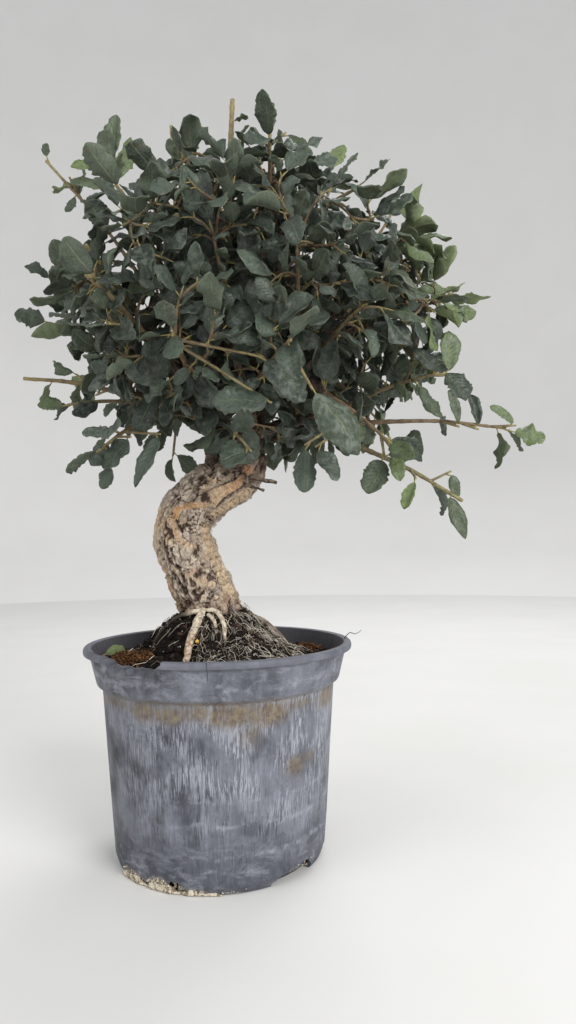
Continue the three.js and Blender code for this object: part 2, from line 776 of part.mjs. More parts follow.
// A leaf from the list of those that stand out, rooted at a place on its stem
function namedLeaf([, start, tip, width], number, root) {
  const draw = seededDraw(SEED + number);
  const base = point(start);
  const blade = point(tip).sub(base);
  const axis = blade.clone().normalize();
  const normal = squareTo(point(NAMED_FACING), axis);
  const bend = between(NAMED_BENDS, draw());
  const twist = between(NAMED_TWISTS, draw());
  const side = normal.clone().cross(axis);
  return { root, base, axis, normal, side, length: blade.length(), width, bend, twist };
}

// The leaves that stand out on one stem, each on a stalk or on a twig of its own
function grownNamed(path, spray, crown) {
  const twigs = [];
  const leaves = [];
  const addLeaf = (leaf) => crown.leafFits(leaf, spray, false) && leaves.push(leaf);
  NAMED_LEAVES.forEach((row, number) => {
    if (row[0] !== spray) return;
    const { gap, share } = nearestShare(path, point(row[1]));
    const leaf = namedLeaf(row, number, rootOn(path, share));
    const stalk = leaf.base.clone().sub(leaf.root).normalize();
    if (gap < LONGEST_STALK && stalk.dot(leaf.axis) > LEAST_STALK_LEAN) {
      addLeaf(leaf);
      return;
    }
    const end = leaf.base.clone().addScaledVector(leaf.axis, -STALK_PAST_TWIG);
    for (let attempt = 0; attempt < TWIG_TRIES; attempt++) {
      const back = TWIG_START_BACK + TWIG_STEP_BACK * attempt;
      const start = placeOn(path, Math.max(share - back, FIRST_TWIG_SHARE)).at;
      const twig = withRadii([start, end], ...TWIG_RADII);
      if (!crown.twigFits(twig, spray)) continue;
      leaf.root = end.clone().addScaledVector(end.clone().sub(start).normalize(), -END_STALK_SUNK);
      twigs.push(twig);
      addLeaf(leaf);
      return;
    }
  });
  return { twigs, leaves };
}

// One leafy stem: its twigs, and leaves in a spiral along all of them
function grownSpray({ path, bare }, index, crown, named) {
  const draw = seededDraw(SEED + SEED_STEP * index);
  const length = point(path[0]).distanceTo(point(path.at(-1)));
  const twigCount = named.leaves.length > 0 ? 0 : Math.max(1, Math.round(length / TWIG_SPACING));
  const twigs = [];
  for (let i = 0; i < twigCount; i++) {
    const share = 0.3 + (0.5 * (i + 0.5)) / twigCount;
    twigs.push(...growTwig(crown, index, path, share, index + i * GOLDEN_TURN, draw));
  }
  const leaves = [];
  const anyTurn = () => 2 * Math.PI * draw();
  if (!bare) leaves.push(...growLeaf(crown, index, placeOn(path, 1), 0, END_LEAF_LEAN, anyTurn(), draw));
  for (const twig of twigs) {
    const middle = placeOn(twig, 0.6);
    leaves.push(...growLeaf(crown, index, placeOn(twig, 1), 0, END_LEAF_LEAN, anyTurn(), draw));
    leaves.push(...growLeaf(crown, index, middle, TWIG_RADII[1], TWIG_LEAF_LEAN, anyTurn(), draw));
  }
  const leafCount = Math.round(length / LEAF_SPACING);
  for (let i = 0; i < leafCount; i++) {
    const share = (bare ? 0.8 : 0.95) - (0.6 * i) / leafCount;
    const turn = 2 * index + i * GOLDEN_TURN;
    leaves.push(...growLeaf(crown, index, placeOn(path, share), 1.2, STEM_LEAF_LEAN, turn, draw));
  }
  return { paths: [path, ...named.twigs, ...twigs], leaves: [...named.leaves, ...leaves] };
}

// A leaf as one closed strip that runs out to a point inside the stem that it grows from.
// Both faces are split into triangles alike.
function leafSolid(leaf) {
  const upper = [];
  const lower = [];
  const addPoint = (along, across, swell, thickness) => {
    const middle = leafPoint(leaf, along, across, swell);
    const normal = leafNormal(leaf, along);
    upper.push(middle.clone().addScaledVector(normal, thickness / 2));
    lower.push(middle.clone().addScaledVector(normal, -thickness / 2));
  };
  LEFT_TEETH.forEach(([along, swell], i) => {
    const [otherAlong, otherSwell] = RIGHT_TEETH[i];
    const thickness = i === 0 ? STALK_THICKNESS : BLADE_THICKNESS;
    addPoint(along, 1, swell, thickness);
    addPoint(otherAlong, -1, otherSwell, thickness);
  });
  addPoint(1, 0, 1, BLADE_THICKNESS);
  const count = upper.length;
  const tip = count - 1;
  const root = 2 * count;
  const indices = [];
  const addFace = (a, b, c) => indices.push(a, b, c, count + c, count + b, count + a);
  const addEdge = (a, b) => indices.push(a, b, count + b, a, count + b, count + a);
  for (let i = 0; i + 3 < tip; i += 2) {
    addFace(i, i + 1, i + 3);
    addFace(i, i + 3, i + 2);
    addEdge(i, i + 2);
    addEdge(i + 3, i + 1);
  }
  addFace(tip - 2, tip - 1, tip);
  addEdge(tip - 2, tip);
  addEdge(tip, tip - 1);
  indices.push(root, 1, 0, root, count, count + 1, root, 0, count, root, count + 1, 1);
  const geometry = new THREE.BufferGeometry().setFromPoints([...upper, ...lower, leaf.root]);
  geometry.setIndex(indices);
  return solidOf(geometry);
}

function spraySolid({ paths, leaves }) {
  const wood = paths.map((path) => taperedTube(path, SPRAY_SIDES));
  return joined([...wood, ...leaves.map(leafSolid)]);
}

function trunkSolid(limbs) {
  const leaders = LEADER_PATHS.map((path) => taperedTube(path, LEADER_SIDES));
  const thinWood = [...DEAD_STUB_PATHS, ...limbs].map((path) => taperedTube(path, LIMB_SIDES));
  return joined([trunkTube(0), ...rootTubes(0), ...leaders, ...thinWood]);
}

function bonsai() {
  const { limbs, stems } = plannedCrown();
  const crown = new Crown();
  [...LEADER_PATHS, ...limbs].forEach((path) => crown.addPath(path));
  stems.forEach(({ path }, index) => crown.addPath(path, index));
  const named = stems.map(({ path }, index) => grownNamed(path, index, crown));
  const group = new THREE.Group();
  group.add(meshOf("pot", potSolid(), PLASTIC));
  group.add(meshOf("soil", soilSolid(), EARTH));
  group.add(meshOf("trunk", trunkSolid(limbs), BARK));
  stems.forEach((stem, index) => {
    const name = "leafy_spray_" + String(index + 1).padStart(2, "0");
    group.add(meshOf(name, spraySolid(grownSpray(stem, index, crown, named[index])), FOLIAGE));
  });
  return group;
}

export default bonsai();
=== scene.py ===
# A cork oak bonsai in its worn plastic nursery pot, dressed for rendering.
# Lengths are in millimetres until a mesh is made, and +Z is up. The front of the pot faces -Y.
import itertools
import json
import math
import random
from dataclasses import dataclass

import bpy
import numpy as np
from mathutils import Matrix, Vector

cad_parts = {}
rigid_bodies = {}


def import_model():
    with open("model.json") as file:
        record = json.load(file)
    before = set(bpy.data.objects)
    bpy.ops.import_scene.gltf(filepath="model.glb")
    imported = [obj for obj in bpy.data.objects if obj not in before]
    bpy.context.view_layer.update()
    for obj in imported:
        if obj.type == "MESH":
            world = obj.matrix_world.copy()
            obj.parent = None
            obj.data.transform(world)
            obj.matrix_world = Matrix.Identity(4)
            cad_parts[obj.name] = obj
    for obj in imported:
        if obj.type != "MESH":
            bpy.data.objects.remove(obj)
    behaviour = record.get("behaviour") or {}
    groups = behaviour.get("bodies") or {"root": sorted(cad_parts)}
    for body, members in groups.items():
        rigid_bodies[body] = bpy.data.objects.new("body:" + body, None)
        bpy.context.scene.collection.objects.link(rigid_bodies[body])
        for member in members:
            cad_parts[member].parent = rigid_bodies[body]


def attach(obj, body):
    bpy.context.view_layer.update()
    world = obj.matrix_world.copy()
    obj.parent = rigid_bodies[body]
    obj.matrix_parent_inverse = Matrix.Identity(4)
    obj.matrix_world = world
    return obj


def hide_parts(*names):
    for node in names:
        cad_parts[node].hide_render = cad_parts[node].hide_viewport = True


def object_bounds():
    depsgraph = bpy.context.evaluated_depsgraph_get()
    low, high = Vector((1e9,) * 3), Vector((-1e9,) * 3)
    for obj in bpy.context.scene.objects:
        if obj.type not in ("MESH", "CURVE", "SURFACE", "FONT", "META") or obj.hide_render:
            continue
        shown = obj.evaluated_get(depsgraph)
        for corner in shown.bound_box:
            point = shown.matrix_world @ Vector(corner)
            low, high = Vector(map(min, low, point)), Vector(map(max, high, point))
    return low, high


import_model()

cad_box = [list(corner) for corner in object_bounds()]

MM = 0.001
GOLDEN_TURN = 2.39996

# Pot
POT_HEIGHT = 130
BAND_TOP_RADIUS = 81.2
BAND_TOP_HEIGHT = 125
BAND_FOOT_RADIUS = 77.1
BAND_FOOT_HEIGHT = 108
BODY_TOP_RADIUS = 73.4
BODY_TOP_HEIGHT = 105
BODY_FOOT_RADIUS = 65.8
BODY_FOOT_HEIGHT = 6
BASE_RADIUS = 63.8
WALL = 1.7
# Heights and radii up the outside of the pot
OUTSIDE = [
    (0, BASE_RADIUS), (BODY_FOOT_HEIGHT, BODY_FOOT_RADIUS), (BODY_TOP_HEIGHT, BODY_TOP_RADIUS),
    (BAND_FOOT_HEIGHT, BAND_FOOT_RADIUS), (BAND_TOP_HEIGHT, BAND_TOP_RADIUS), (POT_HEIGHT, BAND_TOP_RADIUS),
]
POT_SIDES = 320
SHARP_ANGLE = 38
ABOVE_LIP = 136
BELOW_FOOT = -1
LIP_CUT_RADII = (72, 92)
# Breaks and wear of the lip: degrees from the front, heights, and the step and size of their raggedness
LIP_BREAKS = [
    (
        [-41, -38, -34, -30, -26, -22, -18.5, -16.5],
        [126.6, 125.3, 126, 125, 125.8, 125.1, 125.6, 128.4],
        0.8,
        0.3,
    ),
    ([-66, -60, -50, -44, -40], [130.1, 128.8, 129.1, 128.4, 127.5], 0.9, 0.35),
]
LIP_CRACK = ([0.66, 0.76, 0.88], [119.5, 118.2, 119.6])
CRACK_CUT_RADII = (65, 92)
FOOT_NOTCHES = [
    ([-50, -46, -40, -35], [1.6, 4.2, 4.8, 2.2]),
    ([-23, -20, -15, -12], [2, 6.8, 6.8, 2]),
    ([31, 37, 48, 55, 60], [1.6, 5, 6, 8, 2.4]),
]
DRAIN_NOTCHES = (114, 172, 230)
DRAIN_STEPS = (-5.5, -2.5, 2.5, 5.5)
DRAIN_TOPS = [2, 6.5, 6.5, 2]
FOOT_CUT_RADII = (BASE_RADIUS - 5.2, BODY_FOOT_RADIUS + 4)

RIM_FIBRE = [
    [79.5, 4, 127.5], [82, 2, 131.5], [84.5, 0, 134], [87.5, -2, 133.2], [90, -3, 134.5], [91.5, -3, 136],
]

# Soil
SOIL_LEVEL = 118
MOUND_HEIGHT = 31
MOUND_TOP_RADIUS = 16
MOUND_SPREAD = 26
MOUND_CENTRE = (-4, 0)
CRUMB_COUNT = 2500
CRUMB_SIZES = [0.5, 0.7, 0.9, 1.3, 1.9, 2.4]
GRAIN_COUNT = 170
GRAIN_SIZES = [0.3, 0.4, 0.55, 0.8]
FOOT_GRAIN_COUNT = 60
HAIR_COUNT = 1050
RIGHT_HAIR_COUNT = 820
HAIR_RADII = [0.1, 0.13, 0.17, 0.26]
TRUNK_HAIR_COUNT = 120
TRUNK_HAIR_RADII = [0.11, 0.17]
YELLOW_GRAIN = (-9.5, -40, 135.2)
# Moss clumps: x, y, half width, half depth and how many tufts
MOSS_PATCHES = [(-54, -27, 14, 9, 420), (-44, -33, 8, 6, 170), (58, 28, 13, 8, 280), (-62, -12, 8, 7, 120)]

# Wood: each path is a list of [x, y, z, radius]
TRUNK_PATH = [
    [-1, 3, 128, 22.5], [-2, 2, 139, 20.5], [-4.3, 0.5, 148.4, 18.6], [-8.7, 0, 160.1, 18.6],
    [-13.2, -1, 169.9, 18.5], [-16.3, -1, 178.3, 18.2], [-19.9, -2, 187.5, 17.9], [-22.7, -2, 197.9, 17.6],
    [-21.6, -2, 208.5, 17.3], [-16.4, -1, 218, 17.3], [-8.1, 0, 225.2, 17.2], [2.4, 1, 231.6, 16.8],
    [12, 1, 238.5, 15.8], [18.5, 0, 246, 13], [21, -1, 254, 9.6],
]
LEADER_PATHS = [
    [
        [1, 2, 236, 12.5], [-1.2, 4, 247, 9.6], [-1.5, 6, 266, 8.4], [2, 8, 290, 7.3], [8, 8, 320, 6],
        [12, 6, 355, 4.6], [14, 6, 388, 3.4],
    ],
    [
        [18.5, 0, 244, 12], [21.5, -2, 260, 9.2], [25, -3, 279, 8], [29, -2, 302, 6.6], [37, 0, 332, 5.2],
        [41, 2, 362, 3.8],
    ],
]
DEAD_STUB_PATHS = [
    [[18, -9, 236, 2.4], [30, -15, 232.5, 1.9], [38.5, -18, 230.4, 1.4]],
    [[14, -10, 231, 1.9], [25, -16, 227.5, 1.5], [30.5, -18, 225.6, 1.1]],
]
DRAWN_STUB_SHARE = 0.72
DRAWN_LEADER_SHARE = 0.83
PALE_ROOT_PATHS = [
    [
        [-8, -11, 151, 2.9], [-8.6, -20.5, 149.5, 2.6], [-10.8, -27.5, 144.5, 2.6], [-12.9, -34, 138.8, 2.5],
        [-14.3, -40, 132.2, 2.4], [-14.6, -46.5, 126.2, 2.3], [-14.6, -52, 118, 2],
    ],
    [
        [-8, -13, 150, 2], [-10, -19.5, 150.4, 1.9], [-16.5, -21, 150.2, 1.9], [-23, -21, 148.3, 1.8],
        [-29, -21, 143.8, 1.6], [-35.5, -21.5, 137, 1.4], [-39.5, -23, 129, 1.2],
    ],
    [
        [-7, -13, 151, 1.7], [-5.5, -20, 151.6, 1.6], [-0.5, -22, 151.4, 1.6], [3, -25, 147.6, 1.5],
        [5.4, -30, 142, 1.4], [7, -34.5, 135, 1.1],
    ],
    [
        [-7, -18, 149, 1.4], [-3.4, -24.6, 148.2, 1.3], [0, -28, 144.8, 1.2], [1.4, -31, 138.5, 1],
    ],
]
DARK_ROOT_PATHS = [
    [[10, 8, 147, 4], [24, 17, 140.5, 3.3], [36, 24, 131, 2.6], [45, 29, 118, 2]],
    [[-10, 10, 147, 4.4], [-18, 25, 139.5, 3.4], [-22, 39, 128, 2.6], [-24, 48, 115, 2]],
]

# Limbs: where each leaves its leader, where it forks, and the tips of the leafy stems it carries.
# A tip with a fourth number is a pruned stem that ends bare, and the number is its radius there.
LIMBS = [
    ([3, 8, 296], [-24, 4, 334], [[-66, -10, 432], [-95, 0, 430], [-31, 12, 480, 1.6]]),
    ([1, 8, 284], [-30, -8, 314], [[-70, -58, 367, 1.3], [-88, -24, 358], [-100, 18, 340]]),
    ([-1, 6, 268], [-29, 0, 287], [[-132, 12, 306, 1.3], [-97, -6, 284], [-66, -46, 248]]),
    ([0, 6, 272], [-10, -34, 286], [[-61, -88, 338, 1.8], [-14, -96, 304]]),
    ([23, -3, 270], [20, -38, 281], [[48, -103, 296], [16, -68, 252], [6, -86, 364]]),
    ([27, -3, 290], [54, -32, 296], [[100, -82, 246], [87, -90, 318], [52, -86, 362]]),
    ([22, -2, 262], [58, -8, 272], [[186, -10, 264], [150, -38, 216, 1.2], [134, -54, 290]]),
    ([31, -1, 308], [66, 4, 325], [[145, -28, 342], [139, 6, 386, 1.2], [118, 12, 414]]),
    ([41, 2, 355], [44, -6, 388], [[75, 6, 444], [36, -22, 450]]),
    ([14, 6, 380], [8, -4, 402], [[12, 0, 490, 1.9], [-16, -42, 428]]),
    ([2, 8, 290], [-27, 34, 318], [[-86, 62, 388], [-98, 66, 306], [-44, 88, 262]]),
    ([10, 8, 330], [12, 44, 336], [[-22, 104, 350], [34, 108, 388], [36, 102, 286]]),
    ([33, -1, 316], [62, 34, 324], [[102, 74, 378], [114, 66, 284]]),
    ([12, 6, 352], [16, 34, 392], [[-18, 56, 440], [48, 50, 446]]),
    ([11, 6, 345], [36, -24, 380], [[90, -52, 402], [38, -72, 420]]),
    ([4, 8, 298], [-20, -22, 345], [[-46, -72, 392]]),
    ([35, -1, 325], [52, 48, 322], [[80, 88, 330]]),
]
LIMB_RADIUS = 4.3
FORK_RADIUS = 3
STEM_RADIUS = 2.2
TIP_RADIUS = 0.95
FORKED_SHARE = 0.3
STEM_GAP = 0.15

# Growth of the leafy stems
SEED = 20
SEED_STEP = 7919
CROWN_MIDDLE = np.array([18.0, 0.0, 318.0])
TWIG_SPACING = 56
TWIG_LENGTHS = (14, 23)
TWIG_RADII = (1.05, 0.8)
TWIG_TRIES = 5
LEAF_SPACING = 38
LEAF_TRIES = 7
LEAF_CLEARANCE = 3.6
TWIG_CLEARANCE = 1.3
TWIG_WOOD_GAP = 2.7
TWIG_LEAF_GAP = 3.2
OWN_LEAF_GAP = 1.5
WOOD = -1
END_LEAF_LEAN = 0.22
TWIG_LEAF_LEAN = 1
STEM_LEAF_LEAN = 0.95
LEAF_LENGTHS = (21, 31)
LEAF_SLENDERNESS = (0.52, 0.72)
LEAF_BENDS = (-0.25, 0.9)
LEAF_TWISTS = (-0.45, 0.45)
STALK_LENGTHS = (2.2, 3.6)
END_STALK_SUNK = 4
SIDE_STALK_SUNK = 0.55
LEAF_REACH_SHARE = 0.62
NEAR_MARGIN = 6

# Leaf blades
FINE_STATIONS = 18
COARSE_STATIONS = 12
COLUMNS = np.array([-1, -0.52, 0, 0.52, 1])
BLADE_THICKNESS = 0.34
RIB_DEPTH = 0.22
TOOTH_SIZE = 0.11
FOLDS = [-0.4, -0.25, -0.12, 0.05, 0.14, 0.25, 0.4, 0.6, 0.9]
FRESH_INSIDE_SHARE = 0.015
SAMPLE_ALONG = np.append(np.array([0.1, 0.26, 0.42, 0.58, 0.74, 0.9]).repeat(5), 1)
SAMPLE_ACROSS = np.array([-0.95, -0.48, 0, 0.48, 0.95] * 6 + [0])
MIDDLE_SAMPLE = 17

# Leaves that stand out on the crown: number of the stem, x, y, z of the blade's start and tip, and width
NAMED_LEAVES = [
    (1, -113, 0, 453, -112, -2, 461, 6), (1, -111, 0, 450, -97, -4, 450, 9),
    (1, -100, 2, 438, -111, -3, 426, 11), (1, -94, 0, 425, -99, -4, 413, 6),
    (0, -70, -8, 439, -92, -16, 437, 9), (0, -69, -10, 425, -97, -2, 436, 10),
    (0, -68, -10, 442, -63, -12, 474, 13), (0, -65, -8, 433, -56, -2, 465, 12),
    (4, -103, -24, 361, -117, -28, 367, 9), (4, -103, -22, 366, -102, -24, 378, 6),
    (4, -93, -20, 361, -90, -24, 373, 6), (5, -120, 18, 347, -139, 12, 351, 14),
    (5, -103, 14, 351, -115, 6, 356, 10), (7, -100, -6, 283, -116, -8, 284, 10),
    (7, -76, -10, 284, -91, -16, 276, 11), (7, -83, -4, 286, -86, -2, 299, 7),
    (8, -33, -44, 285, -43, -50, 259, 15), (8, -21, -50, 279, -26, -56, 260, 9),
    (8, -60, -40, 261, -79, -36, 261, 9), (8, -62, -40, 253, -72, -42, 240, 13),
    (8, -48, -48, 254, -62, -52, 237, 13), (8, -29, -54, 254, -42, -58, 225, 10),
    (8, -59, -44, 238, -66, -40, 226, 9), (24, 37, -10, 462, 31, -8, 488, 13),
    (24, 49, -22, 452, 63, -26, 433, 10), (24, 64, -18, 435, 81, -14, 441, 13),
    (23, 67, 0, 431, 92, -4, 434, 14), (22, 123, 10, 419, 138, 8, 412, 11),
    (21, 133, 4, 377, 127, 2, 397, 12), (20, 148, -28, 347, 123, -34, 346, 9),
    (20, 150, -30, 338, 157, -32, 326, 8), (19, 141, -50, 292, 142, -50, 315, 13),
    (19, 132, -55, 291, 119, -58, 304, 12), (19, 138, -56, 289, 148, -60, 272, 16),
    (19, 122, -58, 281, 134, -62, 262, 9), (17, 191, -12, 261, 210, -14, 257, 15),
    (17, 190, -12, 267, 175, -14, 278, 7), (17, 168, -10, 266, 164, -8, 287, 9),
    (17, 154, -16, 267, 148, -18, 288, 7), (18, 142, -38, 218, 151, -40, 193, 10),
    (18, 145, -34, 232, 148, -34, 217, 7), (18, 120, -46, 227, 113, -48, 211, 8),
    (14, 97, -78, 236, 88, -82, 218, 14), (14, 103, -84, 238, 105, -88, 224, 9),
    (14, 62, -80, 242, 72, -86, 225, 11), (14, 55, -78, 243, 54, -84, 219, 13),
    (12, 23, -66, 243, 8, -70, 237, 13), (11, 60, -108, 267, 81, -114, 235, 21),
    (10, 35, -98, 287, 55, -104, 264, 17), (10, 35, -97, 265, 7, -101, 266, 16),
]
NAMED_BENDS = (-0.1, 0.5)
NAMED_TWISTS = (-0.3, 0.3)
NAMED_FACING = np.array([0.1, -1.0, 0.4])
LONGEST_STALK = 7
LEAST_STALK_LEAN = 0.3
STALK_PAST_TWIG = 2.6
TWIG_START_BACK = 0.08
TWIG_STEP_BACK = 0.06
FIRST_TWIG_SHARE = 0.05
LAST_ROOT_SHARE = 0.96

# The finer growth that fills the crown
FILL_SEED = 4021
FILL_TRIES = 7000
FILL_GAP = 6.6
FILL_LEAF_LENGTHS = (10, 25)
FILL_LEAF_CLEARANCE = 1.2
FILL_TWIG_CLEARANCE = 0.4
FRESH_REACH = np.array([118.0, 170.0, 108.0])
DRAWN_LENGTH_SHARE = 0.88
DRAWN_WIDTH_SHARE = 0.8
BESIDE_TIP_SHARE = 0.55
DRAWN_STEM_SHARE = 0.85
NAMED_LENGTH_SHARE = 0.985
LOW_FRESH_SHARE = 0.45
BARE_HALF_WIDTH = 20  # round the foot of the leaders
BARE_TOP = 266
PRUNED_TIPS = [(12, 490), (-31, 480)]  # bare stems that show at the top, as (x, z)
PRUNED_CLEAR = (12, 36)
FRONT_VIEW = (45, -455, 192)
DENSE_TOP = 468
ABOVE_TOP_SHARE = 0.2
TOP_HEIGHT = 428
TOP_LEAF_LENGTHS = (8, 17)
BOX_MARGIN = 5.5
FILL_REACHES = (4, 85)
FILL_LEAN_BACK = 0.35
FILL_TWIG_GAPS = (0.3, 1.2)
FILL_LEAF_SPACING = 7.5
FILL_LEAF_TRIES = 4
FILL_STALK_RADIUS = 0.38
WOOD_FURTHER = 25  # how much further away the leaders and limbs count as
FILL_RADII = (0.85, 0.45)
CROWN_CENTRE = np.array([12.0, 0.0, 352.0])
CROWN_DEPTH = 108
# Reach of the dense crown from its centre, seen from the front, every 15 degrees from the right
CROWN_OUTLINE = [
    128, 114, 86, 82, 84, 84, 74, 80, 80, 70, 78, 84,
    98, 102, 94, 96, 86, 80, 90, 98, 104, 108, 120, 140,
]
GAP_SIZE = 27
GAP_ABOVE = 0.26

# Marks on the front of the trunk, as (x, z)
SCAR = [(-3.0, 220.7), (1.4, 223.8), (7.7, 227.5), (12.8, 229.6), (16.6, 234.3)]
ORANGE_STREAK = [
    (-25.1, 210.3), (-24.5, 213.5), (-21.3, 215.3),
    (-16.9, 216.5), (-11.2, 217.1), (-5.9, 217.0),
]
LADDER = [
    (-7.8, 203.4), (-5.9, 196.3), (-3.7, 188.8), (0.9, 176.5),
    (5.9, 165.0), (9.0, 161.2), (11.5, 156.7),
]
ARM_LADDER = [(-3.3, 210.3), (1.9, 213.4), (6.4, 216.6), (14.8, 222.9), (21.2, 228.5)]
LEFT_BLOCKS = [(-28.3, 208.5), (-25.8, 202.2), (-22.1, 194.6), (-14.0, 190.1)]
KNOTS = [(-3.0, 166.9, 2.9), (-7.8, 159.2, 1.9), (-0.7, 159.4, 1.7)]
HOLLOWS = [
    (-6.8, 222.7, 3.2), (-5.0, 208.8, 2.6), (-12.7, 188.2, 2.6),
    (-10.3, 175.7, 2.8), (-2.3, 162.5, 2.2),
]
FURROWS = [
    [(-31.5, 190.0), (-27.5, 180.2), (-20.7, 162.0)],
    [(-28.5, 190.0), (-24.2, 178.2), (-17.6, 160.5)],
    [(-34.6, 197.0), (-31.0, 184.2), (-24.2, 166.0)],
]
# Raised bands broken across: line, half width, spacing of the cracks, orange and depth of the cracks
BANDS = [
    (ORANGE_STREAK, 2.0, 2.6, 0.85, 0.3),
    (LADDER, 2.7, 4.3, 0.12, 0.9),
    (ARM_LADDER, 2.6, 4.1, 0.15, 0.8),
    (LEFT_BLOCKS, 2.2, 3.7, 0.3, 0.7),
]
SWIRL = (-14.5, 204.5, 7.5)
WARM_PATCH = (20.5, 239.5, 3.6)

# Places of the yellow-brown stains, as (degrees from the front, height, spread round, spread up, strength)
STAINS = [
    (-50, 102, 22, 4, 0.55), (-30, 100, 9, 6, 0.95), (-17, 99, 9, 5.5, 0.9), (-4, 100.5, 10, 5, 0.8),
    (10, 99, 12, 7, 1.0), (26, 98.5, 12, 7.5, 0.95), (18, 88, 7, 9, 0.5), (43, 101, 12, 4, 0.6),
    (68, 100, 12, 7, 0.95), (43, 66, 6, 5.5, 0.95), (52, 69, 5, 4, 0.5), (0, 105.6, 75, 1.3, 0.7),
    (120, 100, 30, 6, 0.7), (-140, 100, 34, 6, 0.7), (175, 84, 9, 12, 0.45),
]
# Pale rings scuffed into the lower wall: height, width and strength
SCUFFS = [(38, 2.6, 0.5), (21, 2.0, 0.45), (52, 1.6, 0.3)]
# Dark scribbles in the front left of the wall: across, up, half width and half height
SCRIBBLE = (-40, 86, 22, 10)
# Places of the lime crust along the foot
CRUSTS = [
    (-46, 3, 9, 4, 0.8), (-27, 3, 7, 4.5, 1), (-8, 1.5, 10, 2.5, 0.5),
    (10, 1.2, 8, 2, 0.3), (46, 6, 9, 2, 0.3),
]

# Lights: name, place, height of the target, size and power
LIGHTS = [
    ("key", (1.0, -1.25, 0.85), 0.25, 1.0, 25),
    ("fill", (-1.3, -0.9, 0.8), 0.2, 1.2, 8),
    ("back", (0.5, 1.3, 1.6), 0.3, 1.2, 15),
]
# Floor and wall of the studio in metres, as (radius, height)
STUDIO_SIDES = 96
STUDIO_PROFILE = [
    (0.4, -0.0003), (1.5, -0.0003), (1.9, 0.02), (2.2, 0.16), (2.4, 0.45), (2.5, 1.0), (2.5, 3.6),
]
CAMERA_PLACE = (0.0453, -0.4552, 0.1917)
CAMERA_LENS = 24.54
CAMERA_PITCH = 0.046
CAMERA_ROLL = -0.014


# Small helpers

norm = np.linalg.norm
scene_objects = bpy.context.scene.collection.objects


def unit(v):
    return v / norm(v)


def square_to(direction, axis):
    return unit(direction - axis * np.dot(direction, axis))


def between(limits, share):
    return limits[0] + (limits[1] - limits[0]) * share


def ease(low, high, value):
    share = np.clip((value - low) / (high - low), 0, 1)
    return share * share * (3 - 2 * share)


def hill(away, width):
    """1 in the middle and less further away."""
    return np.exp(-((away / width) ** 2))


def full_turn(sides):
    return 2 * np.pi * np.arange(sides) / sides


def round_axis(radius, turn, z):
    """Places at a radius round the pot's axis, turned from its front."""
    return np.stack(np.broadcast_arrays(radius * np.sin(turn), -radius * np.cos(turn), z), axis=-1)


def seeded_draw(seed):
    state = [seed & 0xFFFFFFFF]

    def draw():
        state[0] = (state[0] * 1664525 + 1013904223) & 0xFFFFFFFF
        return state[0] / 4294967296

    return draw


def lattice_values(cells, seed):
    """A fixed number from -1 to 1 for each whole-numbered cell."""
    x, y, z = np.moveaxis(cells, -1, 0)
    mixed = x * 73856093 ^ y * 19349663 ^ z * 83492791 ^ (seed * 668265263)
    mixed = (mixed ^ (mixed >> 13)) * 1274126177 & 0x7FFFFFFF
    mixed = (mixed ^ (mixed >> 16)) * 668265263 & 0x7FFFFFFF
    return mixed / 0x3FFFFFFF - 1


def smooth_noise(points, seed=0):
    """Noise from -1 to 1, with one lump to a unit."""
    low = np.floor(points).astype(np.int64)
    part = points - low
    part = part * part * (3 - 2 * part)
    total = np.zeros(len(points))
    for corner in itertools.product((0, 1), repeat=3):
        weight = np.prod(np.where(np.array(corner) == 1, part, 1 - part), axis=1)
        total += weight * lattice_values(low + np.array(corner), seed)
    return total


def rough_noise(points, octaves, seed=0):
    total = np.zeros(len(points))
    for octave in range(octaves):
        total += smooth_noise(points * 2.03**octave + 7.7 * octave, seed + octave) / 2**octave
    return total


def drift(points, shift, seed):
    """Smooth noise for each of three directions."""
    return np.stack([smooth_noise(points + shift * k, seed + k) for k in range(3)], axis=1)


def seams(points, width, seed):
    """Thin wandering lines, 1 along their middles."""
    return 1 - ease(0, width, np.abs(rough_noise(points, 2, seed)))


def nearest_seed(points, seed):
    """Distance to the nearest of scattered seeds, one to a unit cell."""
    low = np.floor(points).astype(np.int64)
    nearest = np.full(len(points), 9.0)
    for corner in itertools.product((-1, 0, 1), repeat=3):
        cell = low + np.array(corner)
        offset = np.stack([lattice_values(cell, seed + axis) for axis in (1, 2, 3)], axis=1) * 0.5 + 0.5
        nearest = np.minimum(nearest, norm(cell + offset - points, axis=1))
    return nearest


def smooth_path(path, step):
    """A curve through the points of a path, with a point about every step."""
    path = np.array(path, float)
    padded = np.vstack([2 * path[0] - path[1], path, 2 * path[-1] - path[-2]])
    made = []
    for i in range(len(path) - 1):
        a, b, c, d = padded[i : i + 4]
        count = max(1, round(norm((c - b)[:3]) / step))
        for t in np.arange(count) / count:
            curve = 2 * b + (c - a) * t + (2 * a - 5 * b + 4 * c - d) * t**2 + (3 * b - a - 3 * c + d) * t**3
            made.append(0.5 * curve)
    return np.array([*made, path[-1]])


def path_frames(points):
    """Directions across a path and over it at each point, without twist."""
    ways = np.vstack([points[1:], points[-1:]]) - np.vstack([points[:1], points[:-1]])
    ways /= norm(ways, axis=1)[:, None]
    across = square_to(np.array([0.31, -0.95, 0.05]), ways[0])
    acrosses = []
    for way in ways:
        across = square_to(across, way)
        acrosses.append(across)
    return np.array(acrosses), np.cross(ways, acrosses)


def mesh_of(name, vertices, faces):
    """A mesh from vertices in metres."""
    mesh = bpy.data.meshes.new(name)
    mesh.from_pydata(np.asarray(vertices).tolist(), [], faces)
    return mesh


def placed(name, data):
    made = bpy.data.objects.new(name, data)
    scene_objects.link(made)
    return made


